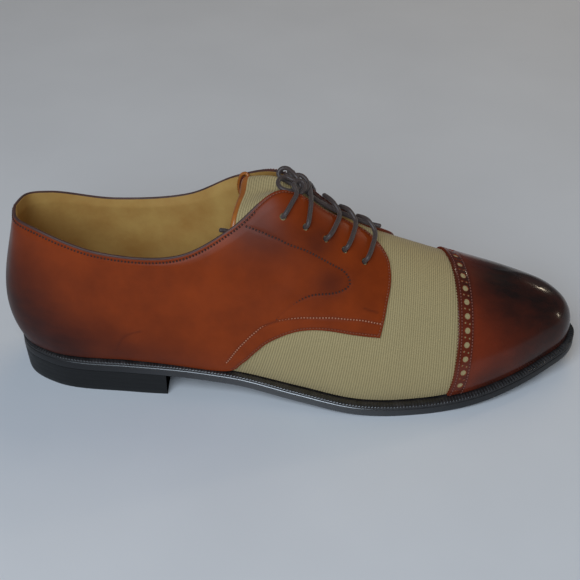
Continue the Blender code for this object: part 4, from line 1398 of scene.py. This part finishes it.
def build_cap():
    """The cap from its gimped edge on one side, round the toe, to its edge on the other."""
    beyond = np.linspace(0, 1, 44)[1:]
    fine = np.linspace(0, 1, 400)
    halves, marks = [], {"burnish_and_shade": [], "groove": []}
    for side, _ in SIDES:
        v, girth = cap_levels(side, 240)
        start = cap_seam(side, v)[:, None]
        reach = row_lengths(wall(side * (start + (1 - start) * fine), v[:, None]))
        tooth = np.abs(((np.linspace(0, girth, len(v)) / GIMP_PITCH) % 1) - 0.5) * 2
        share = []
        for row, bite in zip(reach, tooth):
            near = CAP_LINES + GIMP_DEPTH * bite * np.clip(1 - CAP_LINES / GIMP_FADE, 0, 1)
            far = CAP_LINES[-1] + (row[-1] - CAP_LINES[-1]) * beyond
            share.append(np.interp(np.concatenate([near, far]), row, fine))
        share = np.array(share)
        u = side * (start + (1 - start) * share)
        level = np.broadcast_to(v[:, None], u.shape)
        inside = np.array([np.interp(s, fine, row) for s, row in zip(share, reach)])
        to_row = np.min([np.abs(inside - at) for at in CAP_ROWS], axis=0)
        high = PANEL_TOP - CAP_GROOVE * bell(to_row, CAP_GROOVE_WIDTH)
        lift = rimmed(high, inside + CAP_RIM_LEAD, CAP_RIM_ROUND)
        band = BAND_DARK * np.clip((BAND_END - inside) / BAND_FADE, 0, 1)
        marks["burnish_and_shade"].append(np.clip(burnish_and_shade(wall(u, level), CAP_SPOTS, 1) + band, 0, 1))
        # Painted shade in the cap's stitch grooves
        marks["groove"].append(CAP_TONE * bell(to_row, CAP_TONE_WIDTH))
        halves.append((lifted(u, level, lift), lifted(u, level, PANEL_LOW)))
    sheets = []
    for outer, inner in zip(*halves):
        meet(outer, inner, -1)
        meet(outer, inner, np.s_[:, -1])
        points, faces = joined([outer.transpose(1, 0, 2), inner.transpose(1, 0, 2)[::-1]])
        sheets.append(points)
    marks = {
        name: np.concatenate([outer.T.reshape(-1), inner.T[::-1].reshape(-1)])
        for name, (outer, inner) in marks.items()
    }
    piece = add_slab("cap_calf", sheets, faces, CAP, ["toe_cap"], marks)
    large, small = cap_holes()
    pins = [(place, BROGUE_RADIUS, 20) for place in large] + [(place, PINHOLE_RADIUS, 10) for place in small]
    pierce(piece, pins)
    build_backing()
    runs = [cap_run(side, at) for side, _ in SIDES for at in CAP_ROWS]
    rows = [(stepped(run, STITCH_PITCH), PANEL_TOP - CAP_GROOVE) for run in runs]
    add_stitches("cap_stitches", rows, THREAD_CAP)


def tongue_section(at, depth, columns):
    """Points across the tongue at one section, outer side first."""
    crown_z, side_v = smooth(TONGUE[:, 0], TONGUE[:, 1:], at)
    v = np.array([side_v, (side_v + TONGUE_TOP) / 2, TONGUE_TOP])
    outer, inner = (lifted(side * at, v, -depth) for side, _ in SIDES)
    top = last(at)
    crown = np.array([[top[3], top[4], crown_z - (depth - TONGUE_DEPTH)]])
    points = np.concatenate([outer, crown, inner[::-1]])
    reach = lengths(points)
    return smooth(reach, points, np.linspace(0, reach[-1], columns))


def leaning_sheet(at, depth, columns):
    """Points over the tongue at stations along it, where it leans as it does most at its rear edge."""
    knots = np.linspace(TONGUE[0, 0] - 0.03, TONGUE[-1, 0] + 0.02, 70)
    table = np.array([tongue_section(knot, depth, columns) for knot in knots])
    fade = (TONGUE[-1, 0] - at) / (TONGUE[-1, 0] - TONGUE[0, 0])
    lean = np.linspace(*TONGUE_LEAN, columns)
    return np.stack([smooth(knots, table[:, k], at + lean[k] * fade) for k in range(columns)], axis=1)


def build_tongue():
    """The tongue's ribbed cloth and the leather binding of its rear edge."""
    stations = np.linspace(TONGUE[0, 0], TONGUE[-1, 0], 80)
    reach = lengths(leaning_sheet(stations, TONGUE_DEPTH, TONGUE_COLUMNS)[:, TONGUE_COLUMNS // 2])
    along = np.linspace(0, reach[-1], int(round(reach[-1] / RIB_PITCH)) * RIB_SAMPLES)
    at = np.interp(along, reach, stations)
    crest = wave(along, RIB_PITCH)[:, None]
    moves = (-RIB_HEIGHT / 2, RIB_HEIGHT / 2, TONGUE_THICK)
    high, low, under = (leaning_sheet(at, TONGUE_DEPTH + move, TONGUE_COLUMNS) for move in moves)
    over = low + (high - low) * crest[..., None]
    marks = {"rib": np.broadcast_to(crest, over.shape[:2])}
    faces = grid_faces(*over.shape[:2])
    face_out(add_slab("tongue_cloth", (over, under), faces, CLOTH, ["tongue"], marks))
    middle = TONGUE_DEPTH + TONGUE_THICK / 2
    ends = TONGUE[0, 0] + np.array([0.0, BINDING_STEP])
    rear, ahead = leaning_sheet(ends, middle, BINDING_RINGS)
    deep, _ = leaning_sheet(ends, middle + 1.0, BINDING_RINGS)
    back = unit(rear - ahead)
    centre = rear + back * BINDING_BACK
    rings = tube(centre, back, unit(deep - rear), BINDING_SIDES, BINDING_WIDE, BINDING_THICK)
    tips = centre[[0, -1], None].repeat(BINDING_SIDES, 1)
    rings = np.concatenate([tips[:1], rings, tips[1:]])
    add_loft("tongue_edge", rings, BINDING, ["tongue_binding"])


def add_roll(name, route, tip, wide, thick, finish):
    """A strip along a route, round in section and pointed at both ends."""
    path = spread(route, ROLL_STEP)
    ahead = unit(np.gradient(path, axis=0))
    side = unit(np.cross(ahead, (0.0, 1.0, 0.0)))
    reach = lengths(path)
    taper = rounded(np.minimum(reach, reach[-1] - reach) / tip)[:, None, None]
    rings = tube(path, side, np.cross(ahead, side), ROLL_SIDES, wide, thick, taper)
    add_loft(name, rings, finish)


def build_roll():
    """The rolled inner corner of the tongue, seen inside the far collar, with a dark sheet of painted shade
    inside it.
    """
    add_roll("tongue_roll", TONGUE_ROLL, ROLL_RADIUS, ROLL_RADIUS, ROLL_RADIUS, BINDING)
    add_roll("tongue_roll_inside", ROLL_INSIDE, ROLL_TIP, ROLL_WIDE, ROLL_THICK, ROLL_SHADE)


def build_collar():
    """The folded edge of the collar, round the heel from facing to facing."""
    u = np.linspace(FOLD_FROM, FOLD_TO, 420)
    centre = lifted(u, FOLD_LEVEL, FOLD_LIFT)
    out = wall_out(u, FOLD_LEVEL)
    ahead = unit(np.gradient(centre, axis=0))
    up = unit(np.cross(out, ahead))
    up *= np.sign(up[:, 2:3])
    size = np.clip(np.minimum(FOLD_TO - u, u - FOLD_FROM) / FOLD_TIP, 0.0, 1.0)[:, None, None]
    rings = tube(centre, out, up, 12, FOLD_RADIUS, FOLD_RADIUS, size)
    add_loft("collar_edge", rings, COLLAR)


def main():
    build_camera()
    build_bow()
    build_bars()
    build_stage()
    build_sole()
    build_welt()
    build_heel()
    build_lining()
    build_vamp()
    build_quarters()
    build_cap()
    build_tongue()
    build_roll()
    build_collar()


main()
